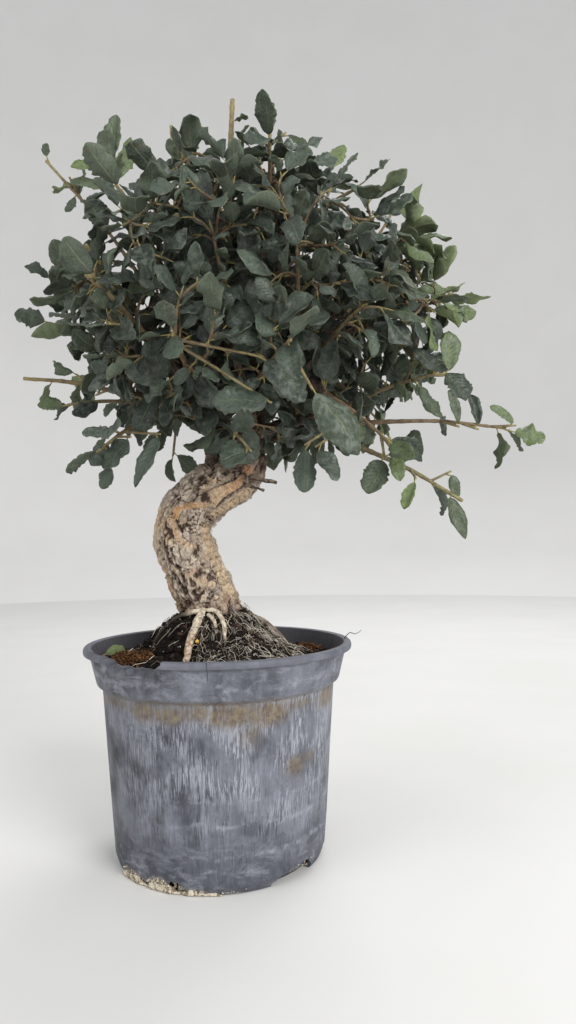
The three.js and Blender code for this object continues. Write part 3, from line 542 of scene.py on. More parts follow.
def store(mesh, label, values):
    """Keeps three numbers at each vertex for the material."""
    stored = mesh.attributes.new(label, "FLOAT_VECTOR", "POINT")
    stored.data.foreach_set("vector", values.astype(np.float32).ravel())


class Heap:
    """Parts of one mesh, gathered with two triples of numbers at each vertex for its material."""

    def __init__(self):
        self.vertices = []
        self.faces = []
        self.looks = []
        self.places = []
        self.count = 0

    def add(self, vertices, faces, look=(0, 0, 0), place=(0, 0, 0)):
        size = len(vertices)
        self.vertices.append(vertices)
        self.faces.extend([[corner + self.count for corner in face] for face in faces])
        self.looks.append(np.broadcast_to(look, (size, 3)))
        self.places.append(np.broadcast_to(place, (size, 3)))
        self.count += size

    def piece(self, name, material, slot, nodes=()):
        mesh = mesh_of(name, np.vstack(self.vertices) * MM, self.faces)
        store(mesh, "look", np.vstack(self.looks))
        store(mesh, "place", np.vstack(self.places))
        add_piece(name, mesh, material, nodes)


def add_piece(name, mesh, material, nodes):
    mesh.polygons.foreach_set("use_smooth", [True] * len(mesh.polygons))
    mesh.materials.append(material)
    piece = placed(name, mesh)
    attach(piece, "root")
    if nodes:
        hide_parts(*nodes)


def enclosed_volume(vertices, faces):
    """Six times the volume inside closed faces, below zero where they face inwards."""
    centre = vertices.mean(axis=0)
    total = 0.0
    for size in (3, 4):
        corners = np.array([face for face in faces if len(face) == size])
        for k in range(1, size - 1 if len(corners) else 0):
            a, b, c = (vertices[corners[:, j]] - centre for j in (0, k, k + 1))
            total += (a * np.cross(b, c)).sum()
    return total


def skin(rings):
    """A closed skin over rings of equal count, with a fan from a middle point at each end."""
    count, sides = rings.shape[:2]
    vertices = np.vstack([rings.reshape(-1, 3), rings[0].mean(axis=0), rings[-1].mean(axis=0)])
    middle = count * sides
    end = middle - sides
    faces = []
    for a in range(end):
        b = a + 1 if (a + 1) % sides else a + 1 - sides
        faces.append((a, b, b + sides, a + sides))
    for side in range(sides):
        after = (side + 1) % sides
        faces += [(middle, after, side), (middle + 1, end + side, end + after)]
    if enclosed_volume(vertices, faces) < 0:
        faces = [face[::-1] for face in faces]
    return vertices, faces


def tube_rings(path, sides, swell=1.0):
    """Rings round a path, and their outward directions; swell is a share of the radius at each corner."""
    path = np.asarray(path, float)
    across, over = path_frames(path[:, :3])
    turns = full_turn(sides)
    ways = across[:, None] * np.cos(turns)[None, :, None] + over[:, None] * np.sin(turns)[None, :, None]
    radii = np.repeat(path[:, 3:4], sides, axis=1) * swell
    return path[:, None, :3] + ways * radii[..., None], ways


def unrolled(path, sides):
    """Places on a straightened tube, for noise that follows the wood."""
    length = np.append(0, np.cumsum(norm(np.diff(path[:, :3], axis=0), axis=1)))[:, None]
    turns = full_turn(sides)[None]
    radius = path[:, 3:4]
    flat = np.broadcast_arrays(radius * np.cos(turns), radius * np.sin(turns), length)
    return np.stack(flat, axis=-1).reshape(-1, 3)


# The crown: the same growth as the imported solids, and then finer growth between


def with_radii(points, first, last):
    return [[*p, first + (last - first) * i / (len(points) - 1)] for i, p in enumerate(points)]


def bowed(start, end, steps, bow):
    points = []
    for i in range(steps + 1):
        share = i / steps
        here = start + (end - start) * share
        here[2] += bow * 4 * share * (1 - share)
        points.append(here)
    return points


def planned_crown():
    """The limbs, and the leafy stems on them, each with whether it ends bare."""
    limbs, stems = [], []
    for start, fork, tips in LIMBS:
        start, fork = np.array(start, float), np.array(fork, float)
        limb = with_radii(bowed(start, fork, 2, 2), LIMB_RADIUS, FORK_RADIUS)
        for i, (x, y, z, *cut) in enumerate(tips):
            tip = np.array([x, y, z], float)
            end = fork + (tip - fork) * FORKED_SHARE
            way = unit(tip - fork)
            stem_start = end + way * STEM_GAP
            forked = with_radii([fork, end - way * STEM_GAP], FORK_RADIUS - 0.2, STEM_RADIUS)
            limbs.append(forked if i else [*limb, forked[1]])
            curved = bowed(stem_start + way * 4, tip, 2, norm(tip - stem_start) * 0.03)
            end_radius = cut[0] if cut else TIP_RADIUS
            stems.append((with_radii([stem_start, *curved], STEM_RADIUS, end_radius), bool(cut)))
    return limbs, stems


def place_on(path, share):
    """The place and direction at a share of a path's length, each segment counted alike."""
    spot = min(share * (len(path) - 1), len(path) - 1.001)
    i = math.floor(spot)
    start, end = np.array(path[i][:3]), np.array(path[i + 1][:3])
    return start + (end - start) * (spot - i), unit(end - start)


@dataclass
class Leaf:
    root: np.ndarray
    base: np.ndarray
    axis: np.ndarray
    normal: np.ndarray
    length: float
    width: float
    bend: float
    twist: float
    stalk_radius: float = 0.5
    stations: int = FINE_STATIONS

    def frame(self, along):
        """The middle line, and the directions across and out of the blade, at shares of its length."""
        along = np.asarray(along, float)[:, None]
        side = np.cross(self.normal, self.axis)
        middle = self.base + self.axis * (self.length * along * (1 - (self.bend * along) ** 2 / 6))
        middle = middle - self.normal * (self.length * self.bend * along**2 / 2)
        turn = self.twist * along
        across = side * np.cos(turn) + self.normal * np.sin(turn)
        out = self.normal * np.cos(turn) - side * np.sin(turn) + self.axis * (self.bend * along)
        return middle, across, out / norm(out, axis=1)[:, None]

    def samples(self):
        """Points spread over the blade, for tests."""
        middle, across, _ = self.frame(SAMPLE_ALONG)
        shape = 2.217 * SAMPLE_ALONG**0.6 * (1 - SAMPLE_ALONG) ** 0.55
        return middle + across * (self.width / 2 * shape * SAMPLE_ACROSS)[:, None]

    def hides_tip(self):
        return hides_pruned_tip(self.base + self.axis * self.length / 2)


class Crown:
    """What has grown, and the tests that keep new growth clear of it."""

    def __init__(self):
        self.starts = np.zeros((0, 3))
        self.ends = np.zeros((0, 3))
        self.radii = np.zeros(0)
        self.sprays = np.zeros(0, int)
        self.samples = np.zeros((0, len(SAMPLE_ACROSS), 3))
        self.reaches = np.zeros(0)
        self.leaf_sprays = np.zeros(0, int)

    def add_path(self, path, spray=WOOD):
        points = np.array(path, float)
        self.starts = np.vstack([self.starts, points[:-1, :3]])
        self.ends = np.vstack([self.ends, points[1:, :3]])
        self.radii = np.append(self.radii, points[:-1, 3])
        self.sprays = np.append(self.sprays, [spray] * (len(points) - 1))

    def distances(self, points, chosen=slice(None)):
        """Distance of each point from each chosen segment."""
        along = self.ends[chosen] - self.starts[chosen]
        offset = points[:, None] - self.starts[chosen][None]
        share = np.clip((offset * along).sum(-1) / (along * along).sum(-1), 0, 1)
        return norm(offset - along * share[..., None], axis=-1)

    def leaf_fits(self, leaf, spray, own_wood_counts=True, clearance=LEAF_CLEARANCE, wood_gap=TWIG_CLEARANCE):
        samples = leaf.samples()
        middle = samples[MIDDLE_SAMPLE]
        reach = leaf.length * LEAF_REACH_SHARE
        near = norm(self.samples[:, MIDDLE_SAMPLE] - middle, axis=1) <= self.reaches + reach + clearance
        if near.any():
            apart = self.samples[near][:, :, None] - samples[None, None]
            if (apart * apart).sum(-1).min() < clearance * clearance:
                return False
        sizes = norm(self.ends - self.starts, axis=1) + reach
        near = norm(self.starts - middle, axis=1) <= sizes + NEAR_MARGIN
        near &= own_wood_counts | (self.sprays != spray)
        if near.any() and (self.distances(samples, near) < self.radii[near] + wood_gap).any():
            return False
        self.samples = np.concatenate([self.samples, samples[None]])
        self.reaches = np.append(self.reaches, reach)
        self.leaf_sprays = np.append(self.leaf_sprays, spray)
        return True

    def twig_fits(self, path, spray, wood_gap=TWIG_WOOD_GAP, leaf_gap=TWIG_LEAF_GAP):
        """A twig is tested at points along it, against the wood of other sprays and all leaves."""
        points = np.array([place_on(path, share)[0] for share in (0.3, 0.5, 0.7, 0.85, 0.999)])
        others = self.sprays != spray
        if (self.distances(points, others) < self.radii[others] + wood_gap).any():
            return False
        for point in points:
            near = norm(self.samples[:, MIDDLE_SAMPLE] - point, axis=1) <= self.reaches + NEAR_MARGIN
            least = np.where(self.leaf_sprays[near] == spray, OWN_LEAF_GAP, leaf_gap)
            if (norm(self.samples[near] - point, axis=-1) < least[:, None]).any():
                return False
        self.add_path(path, spray)
        return True


def sideways_at(way, turn):
    start = square_to(np.array([0.2, 0.3, 1.0]), way)
    return start * math.cos(turn) + np.cross(way, start) * math.sin(turn)


def drawn_leaf(at, way, radius, lean, turn, draw, lengths=LEAF_LENGTHS):
    outwards = unit(at - CROWN_MIDDLE)
    axis = unit(way * math.cos(lean) + sideways_at(way, turn) * math.sin(lean) + outwards * 0.25)
    facing = np.array([draw() - 0.5, draw() - 0.5, 0.3 + 0.5 * draw()]) + outwards
    normal = square_to(facing, axis)
    length = between(lengths, draw())
    width = length * between(LEAF_SLENDERNESS, draw())
    stalk = radius + between(STALK_LENGTHS, draw())
    root = at - axis * (radius * SIDE_STALK_SUNK) if radius else at - way * END_STALK_SUNK
    bend = between(LEAF_BENDS, draw())
    twist = between(LEAF_TWISTS, draw())
    return Leaf(root, at + axis * stalk, axis, normal, length, width, bend, twist)


def grow_leaf(crown, spray, place, radius, lean, turn, draw):
    for attempt in range(LEAF_TRIES):
        leaf = drawn_leaf(*place, radius, lean + 0.12 * attempt, turn + attempt * GOLDEN_TURN, draw)
        if crown.leaf_fits(leaf, spray):
            return [leaf]
    return []


def grow_twig(crown, spray, path, share, turn, draw):
    length = between(TWIG_LENGTHS, draw())
    at, way = place_on(path, share)
    for attempt in range(TWIG_TRIES):
        sideways = sideways_at(way, turn + attempt * GOLDEN_TURN + draw())
        leaning = unit(way * 0.62 + sideways * 0.8 + unit(at - CROWN_MIDDLE) * 0.3)
        twig = with_radii([at, at + leaning * length], *TWIG_RADII)
        if crown.twig_fits(twig, spray):
            return [twig]
    return []


def share_along(spot, start, end):
    return np.clip(np.dot(spot - start, end - start) / np.dot(end - start, end - start), 0, 1)


def nearest_share(path, spot):
    """The gap between a path and a spot, and the share of the path's length where it is least."""
    best = (math.inf, 0)
    for i in range(len(path) - 1):
        start, end = np.array(path[i][:3]), np.array(path[i + 1][:3])
        share = share_along(spot, start, end)
        gap = norm(spot - start - (end - start) * share)
        if gap < best[0]:
            best = (gap, (i + share) / (len(path) - 1))
    return best


def grow_named(crown, path, spray):
    """The leaves that stand out on one stem, each on a stalk or on a twig of its own."""
    twigs, leaves = [], []
    for number, (index, *spots, width) in enumerate(NAMED_LEAVES):
        if index != spray:
            continue
        draw = seeded_draw(SEED + number)
        base, tip = np.array(spots, float).reshape(2, 3)
        axis = unit(tip - base)
        gap, share = nearest_share(path, base)
        root, _ = place_on(path, min(share, LAST_ROOT_SHARE))
        bend, twist = between(NAMED_BENDS, draw()), between(NAMED_TWISTS, draw())
        leaf = Leaf(root, base, axis, square_to(NAMED_FACING, axis), norm(tip - base), width, bend, twist)
        end = base - axis * STALK_PAST_TWIG
        held = gap < LONGEST_STALK and np.dot(unit(base - root), axis) > LEAST_STALK_LEAN
        for attempt in range(0 if held else TWIG_TRIES):
            back = TWIG_START_BACK + TWIG_STEP_BACK * attempt
            start, _ = place_on(path, max(share - back, FIRST_TWIG_SHARE))
            twig = with_radii([start, end], *TWIG_RADII)
            if crown.twig_fits(twig, spray):
                leaf.root = end - unit(end - start) * END_STALK_SUNK
                twigs.append(twig)
                held = True
                break
        if held and crown.leaf_fits(leaf, spray, False):
            leaves.append(leaf)
    return twigs, leaves


def grown_spray(path, bare, index, crown, has_named):
    """One leafy stem: its twigs, and leaves in a spiral along all of them."""
    draw = seeded_draw(SEED + SEED_STEP * index)
    length = norm(np.array(path[-1][:3]) - np.array(path[0][:3]))
    twig_count = 0 if has_named else max(1, math.floor(length / TWIG_SPACING + 0.5))
    twigs = []
    for i in range(twig_count):
        share = 0.3 + 0.5 * (i + 0.5) / twig_count
        twigs += grow_twig(crown, index, path, share, index + i * GOLDEN_TURN, draw)
    leaves = []
    for wood in [*([] if bare else [path]), *twigs]:
        leaves += grow_leaf(crown, index, place_on(wood, 1), 0, END_LEAF_LEAN, 2 * math.pi * draw(), draw)
        if wood is not path:
            side = place_on(wood, 0.6)
            leaves += grow_leaf(crown, index, side, TWIG_RADII[1], TWIG_LEAF_LEAN, 2 * math.pi * draw(), draw)
    leaf_count = math.floor(length / LEAF_SPACING + 0.5)
    for i in range(leaf_count):
        share = (0.8 if bare else 0.95) - 0.6 * i / leaf_count
        turn = 2 * index + i * GOLDEN_TURN
        leaves += grow_leaf(crown, index, place_on(path, share), 1.2, STEM_LEAF_LEAN, turn, draw)
    return twigs, leaves


def crown_reach(x, z):
    """How far the dense crown reaches from its centre, seen from the front, towards a place."""
    step = len(CROWN_OUTLINE) / (2 * math.pi)
    spot = (math.atan2(z - CROWN_CENTRE[2], x - CROWN_CENTRE[0]) * step) % len(CROWN_OUTLINE)
    i = int(spot)
    return between((CROWN_OUTLINE[i], CROWN_OUTLINE[(i + 1) % len(CROWN_OUTLINE)]), spot - i)


def place_in_crown(draw):
    """A place in the dense crown, more often near its outside."""
    turn = 2 * math.pi * draw()
    share = draw() ** 0.45
    way = np.array([math.cos(turn), 0, math.sin(turn)])
    reach = crown_reach(CROWN_CENTRE[0] + way[0], CROWN_CENTRE[2] + way[2])
    depth = CROWN_DEPTH * (1 - share**2.6) ** 0.4 * math.copysign(draw() ** 0.6, draw() - 0.5)
    return CROWN_CENTRE + way * reach * share + np.array([0, depth, 0])


def inside_box(leaf):
    low, high = (np.array(corner) / MM for corner in cad_box)
    samples = leaf.samples()
    return (samples > low + BOX_MARGIN).all() and (samples < high - BOX_MARGIN).all()


def seen_from_front(spot):
    """Where a place seems to lie in the trunk's plane, as (x, z), from where the front is looked at."""
    x, y, z = FRONT_VIEW
    nearness = -y / (spot[1] - y)
    return x + (spot[0] - x) * nearness, z + (spot[2] - z) * nearness


def hides_pruned_tip(spot):
    clear_width, clear_height = PRUNED_CLEAR
    seen_x, seen_z = seen_from_front(spot)
    return any(abs(seen_x - x) < clear_width and seen_z > z - clear_height for x, z in PRUNED_TIPS)


def may_be_filled(goal, crown, draw):
    """Whether a place lies in the dense crown, outside its bare parts and gaps and away from leaves."""
    if goal[2] < BARE_TOP and abs(goal[0]) < BARE_HALF_WIDTH or hides_pruned_tip(goal):
        return False
    if seen_from_front(goal)[1] > DENSE_TOP and draw() > ABOVE_TOP_SHARE:
        return False
    if smooth_noise(goal[None] / GAP_SIZE, FILL_SEED)[0] > GAP_ABOVE:
        return False
    return norm(crown.samples - goal, axis=-1).min() >= FILL_GAP


def filling_twig(crown, goal):
    """A bowed twig from the nearest wood to a place, and the spray that it belongs to."""
    gaps = crown.distances(goal[None])[0]
    nearest = int(np.argmin(gaps + WOOD_FURTHER * (crown.sprays < 0)))
    if not FILL_REACHES[0] <= gaps[nearest] <= FILL_REACHES[1]:
        return None
    start, end = crown.starts[nearest], crown.ends[nearest]
    share = share_along(goal, start, end)
    share = max(share - FILL_LEAN_BACK * gaps[nearest] / max(norm(end - start), 1), 0)
    at = start + (end - start) * share
    size = norm(goal - at)
    bend = unit(end - start) * size * 0.22 + np.array([0, 0, size * 0.06])
    points = [at, at + (goal - at) * 0.35 + bend * 0.6, at + (goal - at) * 0.7 + bend * 0.5, goal]
    spray = crown.sprays[nearest]
    if spray < 0:
        spray = crown.sprays[int(np.argmin(np.where(crown.sprays < 0, 1e9, gaps)))]
    twig = with_radii(points, FILL_RADII[0] + size * 0.006, FILL_RADII[1])
    return (twig, int(spray)) if crown.twig_fits(twig, spray, *FILL_TWIG_GAPS) else None


def filling_leaves(crown, twig, spray, draw):
    size = norm(np.array(twig[-1][:3]) - np.array(twig[0][:3]))
    count = max(2, round(size / FILL_LEAF_SPACING))
    turn = 2 * math.pi * draw()
    grown = []
    for i in range(count):
        at, way = place_on(twig, 1 - 0.72 * i / count)
        lengths = TOP_LEAF_LENGTHS if at[2] > TOP_HEIGHT else FILL_LEAF_LENGTHS
        for attempt in range(FILL_LEAF_TRIES):
            lean = (STEM_LEAF_LEAN if i else 0.25) + 0.15 * attempt
            turned = turn + (i + attempt) * GOLDEN_TURN
            leaf = drawn_leaf(at, way, FILL_RADII[1] if i else 0, lean, turned, draw, lengths)
            leaf.stalk_radius = FILL_STALK_RADIUS
            leaf.stations = COARSE_STATIONS
            if not inside_box(leaf) or leaf.hides_tip():
                continue
            if crown.leaf_fits(leaf, spray, True, FILL_LEAF_CLEARANCE, FILL_TWIG_CLEARANCE):
                grown.append(leaf)
                break
    return grown


def fill_crown(crown, leaves_of):
    """Thin twigs that grow from the nearest wood towards bare places, with leaves along them."""
    draw = seeded_draw(FILL_SEED)
    twigs = []
    for _ in range(FILL_TRIES):
        goal = place_in_crown(draw)
        grown = may_be_filled(goal, crown, draw) and filling_twig(crown, goal)
        if grown:
            twigs.append(grown[0])
            leaves_of[grown[1]] += filling_leaves(crown, *grown, draw)
    return twigs


# Leaves and twigs as meshes


def blade_faces(stations):
    """Faces of one blade: an upper and a lower sheet joined along the rim."""
    columns = len(COLUMNS)
    lower = stations * columns
    faces = []
    for row in range(stations - 1):
        start = row * columns
        for a in range(start, start + columns - 1):
            b = a + columns
            faces += [(a, a + 1, b + 1, b), (lower + a, lower + b, lower + b + 1, lower + a + 1)]
        for a, b in ((start, start + columns), (start + 2 * columns - 1, start + columns - 1)):
            faces.append((a, b, lower + b, lower + a))
    last = lower - columns
    for a in range(columns - 1):
        b = last + a
        faces += [(a + 1, a, lower + a, lower + a + 1), (b, b + 1, lower + b + 1, lower + b)]
    return faces


BLADE_FACES = {stations: blade_faces(stations) for stations in (FINE_STATIONS, COARSE_STATIONS)}


def outline_shape(along, dice):
    """A leaf's half width along its length, at most 1: egg-shaped one way or the other, and uneven."""
    towards_base, towards_tip = dice.uniform(0.5, 0.74), dice.uniform(0.46, 0.72)
    widest = towards_base / (towards_base + towards_tip)
    peak = widest**towards_base * (1 - widest) ** towards_tip
    along = np.clip(along, 0.004, 0.996)
    return along**towards_base * (1 - along) ** towards_tip / peak


def freshness(leaf, dice):
    """How young and light a leaf is: more so near the outside of the crown, and now and then inside."""
    away = (leaf.base + leaf.axis * leaf.length * 0.5 - CROWN_CENTRE) / FRESH_REACH
    away[2] *= 1 if away[2] > 0 else LOW_FRESH_SHARE
    fresh = float(ease(0.76, 1.15, norm(away))) * dice.uniform(0.0, 1.0)
    return max(fresh, dice.uniform(0.25, 0.5)) if dice.random() < FRESH_INSIDE_SHARE else fresh


def add_leaf(heap, leaf, dice):
    """A thin blade with a fold, an uneven edge, waves along it and a stalk."""
    stations = leaf.stations
    along = np.linspace(0, 1, stations)
    middle, across, out = leaf.frame(along)
    shape = outline_shape(along, dice)
    taper = ease(0.06, 0.3, along) * (1 - ease(0.9, 1, along))
    roughness = TOOTH_SIZE * dice.uniform(0.4, 1.6)
    edges = [np.array([dice.uniform(-1, 1) for _ in along]) * roughness * taper for _ in (0, 1)]
    fold = dice.choice(FOLDS) + dice.uniform(-0.05, 0.05)
    wave = dice.uniform(0.07, 0.32)
    crinkle = 0.09 * dice.uniform(0.3, 1.5)
    wave_count = dice.uniform(1.0, 2.4)
    wave_start = dice.uniform(0, 6.28)
    skew = dice.uniform(-0.1, 0.1)
    sway = dice.uniform(-0.05, 0.05) * leaf.length
    sheets = np.zeros((2, stations, len(COLUMNS), 3))
    for column, share in enumerate(COLUMNS):
        swell = 1 + edges[share > 0] * abs(share) + skew * share
        half = leaf.width / 2 * np.maximum(shape * swell, 0.05) * share
        ripple = wave * np.sin(wave_count * 2 * np.pi * along + wave_start + 1.3 * share) * abs(share) ** 2
        uneven = np.array([dice.uniform(-crinkle, crinkle) for _ in along]) * taper
        lift = leaf.width / 2 * (fold * abs(share) ** 1.3 * np.minimum(shape, 0.9) + ripple * shape + uneven)
        reach = half * math.cos(min(abs(fold), 1.0) * 0.6) + sway * np.sin(np.pi * along)
        spot = middle + across * reach[:, None] + out * lift[:, None]
        thick = BLADE_THICKNESS * (0.5 if abs(share) == 1 else 1) / 2
        rib = RIB_DEPTH * (1 - 0.7 * along) if share == 0 else np.zeros(stations)
        sheets[0, :, column] = spot + out * thick
        sheets[1, :, column] = spot - out * (thick + rib)[:, None]
    place = np.zeros_like(sheets)
    place[..., 0] = along[None, :, None]
    place[..., 1] = COLUMNS
    place[1, ..., 2] = 1
    fresh = freshness(leaf, dice)
    look = (dice.random(), fresh, dice.random())
    heap.add(sheets.reshape(-1, 3), BLADE_FACES[stations], look, place.reshape(-1, 3))
    bottom = leaf.base + leaf.axis * 0.6
    bent = (leaf.root + bottom) / 2 + leaf.normal * 0.2
    radii = [leaf.stalk_radius * share for share in (1.15, 1, 0.8)]
    stalk = [[*spot, radius] for spot, radius in zip((leaf.root, bent, bottom), radii)]
    heap.add(*skin(tube_rings(stalk, 4)[0]), look, (0, 0, 0.5))


def add_twig(heap, path, sides, dice, olive, step=2.6):
    """A stem with slight swellings. look.x is its share of olive, look.y runs to 1 at its end."""
    path = smooth_path(path, step)
    count = len(path)
    along = np.arange(count)
    knots = 1 + 0.16 * (np.sin(along * 1.9 + dice.uniform(0, 6)) > 0.75)
    rough = 1 + np.array([[dice.uniform(-0.07, 0.07) for _ in range(sides)] for _ in range(count)])
    vertices, faces = skin(tube_rings(path, sides, knots[:, None] * rough)[0])
    share = np.append(np.repeat(along / max(count - 1, 1), sides), [0, 1])
    look = np.zeros((len(vertices), 3))
    look[:, 0] = np.clip(between(olive, share), 0, 1)
    look[:, 1] = share
    look[-1, 2] = 1
    heap.add(vertices, faces, look, (dice.random(), 0, 0))


# The trunk


def line_distance(points, line):
    """Distance of flat points from a broken line, how far along it they lie, and its length."""
    best = np.full(len(points), 1e9)
    along = np.zeros(len(points))
    done = 0.0
    for start, end in zip(np.array(line[:-1]), np.array(line[1:])):
        step = end - start
        size = norm(step)
        share = np.clip((points - start) @ step / size**2, 0, 1)
        gap = norm(points - start - share[:, None] * step, axis=1)
        along = np.where(gap < best, done + share * size, along)
        best = np.minimum(best, gap)
        done += size
    return best, along, done


def trunk_marks(flat, front, rough, relief, tan, orange, dark):
    """Carves and colours the marks on the front of the trunk."""
    gap, along, whole = line_distance(flat, SCAR)
    gap = gap + 0.35 * rough
    width = between((5.0, 1.9), along / whole)
    inside = (1 - ease(width - 0.8, width + 0.2, gap)) * front
    rim = hill(gap - width - 0.5, 0.5) * front * ease(-1.2, -0.1, rough)
    collar = hill(gap - width - 2.2, 1.3) * front
    grain = 0.14 * rough + 0.1 * np.sin(gap * 3.4 + rough)
    cycle = np.abs((along / 3.1 + 0.12 * rough) % 1 - 0.5)
    cross = ease(0.42, 0.48, cycle) * inside * ease(-0.2, 0.3, rough + 0.3)
    relief = relief * (1 - 0.85 * inside) + inside * (grain - 0.25) + collar * 0.5 - rim * 0.7 - cross * 0.5
    tan = np.maximum(np.maximum(tan * (1 - inside), inside), collar * 0.45)
    orange = np.maximum(orange * (1 - inside), inside * (0.15 + 0.5 * ease(6, 18, along)))
    dark = np.maximum(np.maximum(dark * (1 - 0.9 * inside), rim), cross * 0.6)
    for line, half, spacing, warmth, crack_depth in BANDS:
        gap, along, whole = line_distance(flat, line)
        gap = gap + 0.8 * rough
        inside = (1 - ease(half - 0.8, half + 0.4, gap)) * front
        cycle = np.abs(((along + 0.9 * rough + 0.3 * gap) / spacing) % 1 - 0.5)
        crack = ease(0.4, 0.47, cycle) * inside
        relief = relief * (1 - 0.5 * inside) + inside * 0.4 - crack * 0.8 * crack_depth
        tan = np.maximum(tan, inside * 0.8)
        orange = np.maximum(orange, inside * warmth * (1 - 0.6 * along / whole))
        dark = np.maximum(dark * (1 - 0.7 * inside), crack * crack_depth * 0.8)
    for x, z, size in KNOTS:
        gap = np.hypot((flat[:, 0] - x) * 1.1, flat[:, 1] - z) + 0.5 * rough
        inside = (1 - ease(size * 0.7, size, gap)) * front
        ring = hill(gap - size - 0.3, 0.45) * front
        relief = relief * (1 - inside) + inside * 0.6 - ring * 0.5
        tan = np.maximum(tan * (1 - inside), inside * 0.9)
        dark = np.maximum(dark * (1 - inside), ring * 0.45)
    for x, z, size in HOLLOWS:
        inside = hill(np.hypot(flat[:, 0] - x, (flat[:, 1] - z) * 0.8) + 0.9 * rough, size) * front
        relief = relief - inside * 1.1
        dark = np.maximum(dark, inside * (0.55 + 0.35 * rough))
        tan = tan * (1 - inside)
    for line in FURROWS:
        inside = hill(line_distance(flat, line)[0] + 0.5 * rough, 0.7) * front
        relief = relief - inside * 0.9
        dark = np.maximum(dark, inside * (0.45 + 0.4 * rough))
    x, z, size = SWIRL
    across, up = flat[:, 0] - x, flat[:, 1] - z
    gap = np.hypot(across, up)
    inside = (1 - ease(size * 0.6, size, gap)) * front
    relief = relief + inside * 0.35 * np.sin(gap * 2.9 + np.arctan2(up, across) * 2 + rough)
    return relief, tan, orange, np.clip(dark, 0, 1)


def trunk_bark():
    """look holds height, tan and orange, and place holds dark, foot and head."""
    path = smooth_path(TRUNK_PATH, 0.62)
    sides = 184
    count = len(path)
    knots = np.array(TRUNK_PATH, float)[:, :3]
    nearest = norm(path[:, None, :3] - knots[None], axis=-1)
    r = np.interp(np.arange(count), np.argmin(nearest, axis=0), np.arange(len(knots)))[:, None]
    t = full_turn(sides)[None]
    swell = 1 + 0.035 * np.cos(5 * t + 0.5 * r) + 0.03 * np.cos(8 * t - 0.8 * r) + 0.02 * np.sin(r * 2.3)
    rings, ways = tube_rings(path, sides, swell)
    points, out = rings.reshape(-1, 3), ways.reshape(-1, 3)
    bark = unrolled(path, sides)
    bent = bark + 1.5 * drift(bark / 3.7, 11, 30)
    rough = rough_noise(bark / 1.5, 2, 88)
    cleft = seams(bent / (4.4, 4.4, 12.5), 0.13, 3)
    split = seams(bent / (5.5, 5.5, 2.9), 0.1, 13) * ease(-0.4, 0.2, smooth_noise(bark / 5, 14))
    crackle = seams(bent / (2.2, 2.2, 3.4), 0.16, 23)
    lump = rough_noise(bent / (4.2, 4.2, 6.5), 3, 33)
    plate = smooth_noise(bent / (3.0, 3.0, 5.2), 43)
    pit = ease(0.5, 0.75, smooth_noise(bark / 2.9 + 40, 17))
    relief = 1.25 * lump + 0.4 * plate + 0.6 * rough + 0.45
    relief = relief - 1.3 * cleft - 0.9 * split - 0.7 * crackle - 0.9 * pit
    patch = rough_noise(bark / (9.0, 9.0, 16.0), 3, 21)
    tan = ease(0.05, 0.8, patch + 0.3 * rough) * 0.55
    orange = ease(0.55, 1.0, patch + 0.3 * plate) * 0.35
    dark = np.maximum(cleft * (0.65 + 0.4 * plate), split * 0.75)
    dark = np.maximum(dark, np.maximum(pit * 0.6, crackle * 0.4))
    front = ease(-0.05, 0.35, -out[:, 1])
    relief, tan, orange, dark = trunk_marks(points[:, [0, 2]], front, rough, relief, tan, orange, dark)
    foot = 1 - ease(147, 163, points[:, 2] + 5 * rough_noise(bark / 7, 2, 50))
    head = ease(226, 237, points[:, 2] + 4 * rough_noise(bark / 6, 2, 51) - 0.25 * np.abs(points[:, 0] - 21))
    x, z, size = WARM_PATCH
    warm = np.exp(-((points[:, 0] - x) ** 2 + (points[:, 2] - z) ** 2) / size**2) * front
    orange = np.maximum(orange, warm)
    head = head * (1 - 0.8 * warm)
    relief = relief * (1 + 0.35 * foot) + foot * 0.6 * rough_noise(bark / 2.1, 2, 60)
    tan = tan * (1 - 0.7 * foot) * (1 - head)
    ends = np.ones((count, sides))
    ends[[0, 1, -2, -1]] = 0
    points = points + out * (relief * ends.ravel())[:, None]
    height = np.clip(relief * 0.33 + 0.5, 0, 1)
    look = np.vstack([np.stack([height, tan, orange], axis=1), np.zeros((2, 3))])
    place = np.vstack([np.stack([dark, foot, head], axis=1), np.ones((2, 3))])
    heap = Heap()
    heap.add(*skin(points.reshape(count, sides, 3)), look, place)
    return heap


def add_branch(heap, path, sides, step, depth, headness, seed):
    """A rough barked leader, limb or stub."""
    path = smooth_path(path, step)
    rings, ways = tube_rings(path, sides)
    spots = unrolled(path, sides)
    rough = rough_noise(spots / 1.4, 2, seed)
    lump = rough_noise(spots / (3.4, 3.4, 7.0), 3, seed + 5)
    crack = seams(spots / (2.6, 2.6, 6.5), 0.2, seed + 9)
    relief = depth * (0.9 * lump + 0.55 * rough - 1.0 * crack)
    vertices, faces = skin(rings + ways * relief.reshape(len(path), sides, 1))
    look = np.zeros((len(vertices), 3))
    look[:-2, 0] = np.clip(relief / depth * 0.3 + 0.5, 0, 1)
    look[:-2, 1] = 0.3 * ease(0.2, 0.8, lump)
    place = np.zeros((len(vertices), 3))
    place[:-2, 0] = crack * 0.8
    place[:, 2] = headness
    heap.add(vertices, faces, look, place)


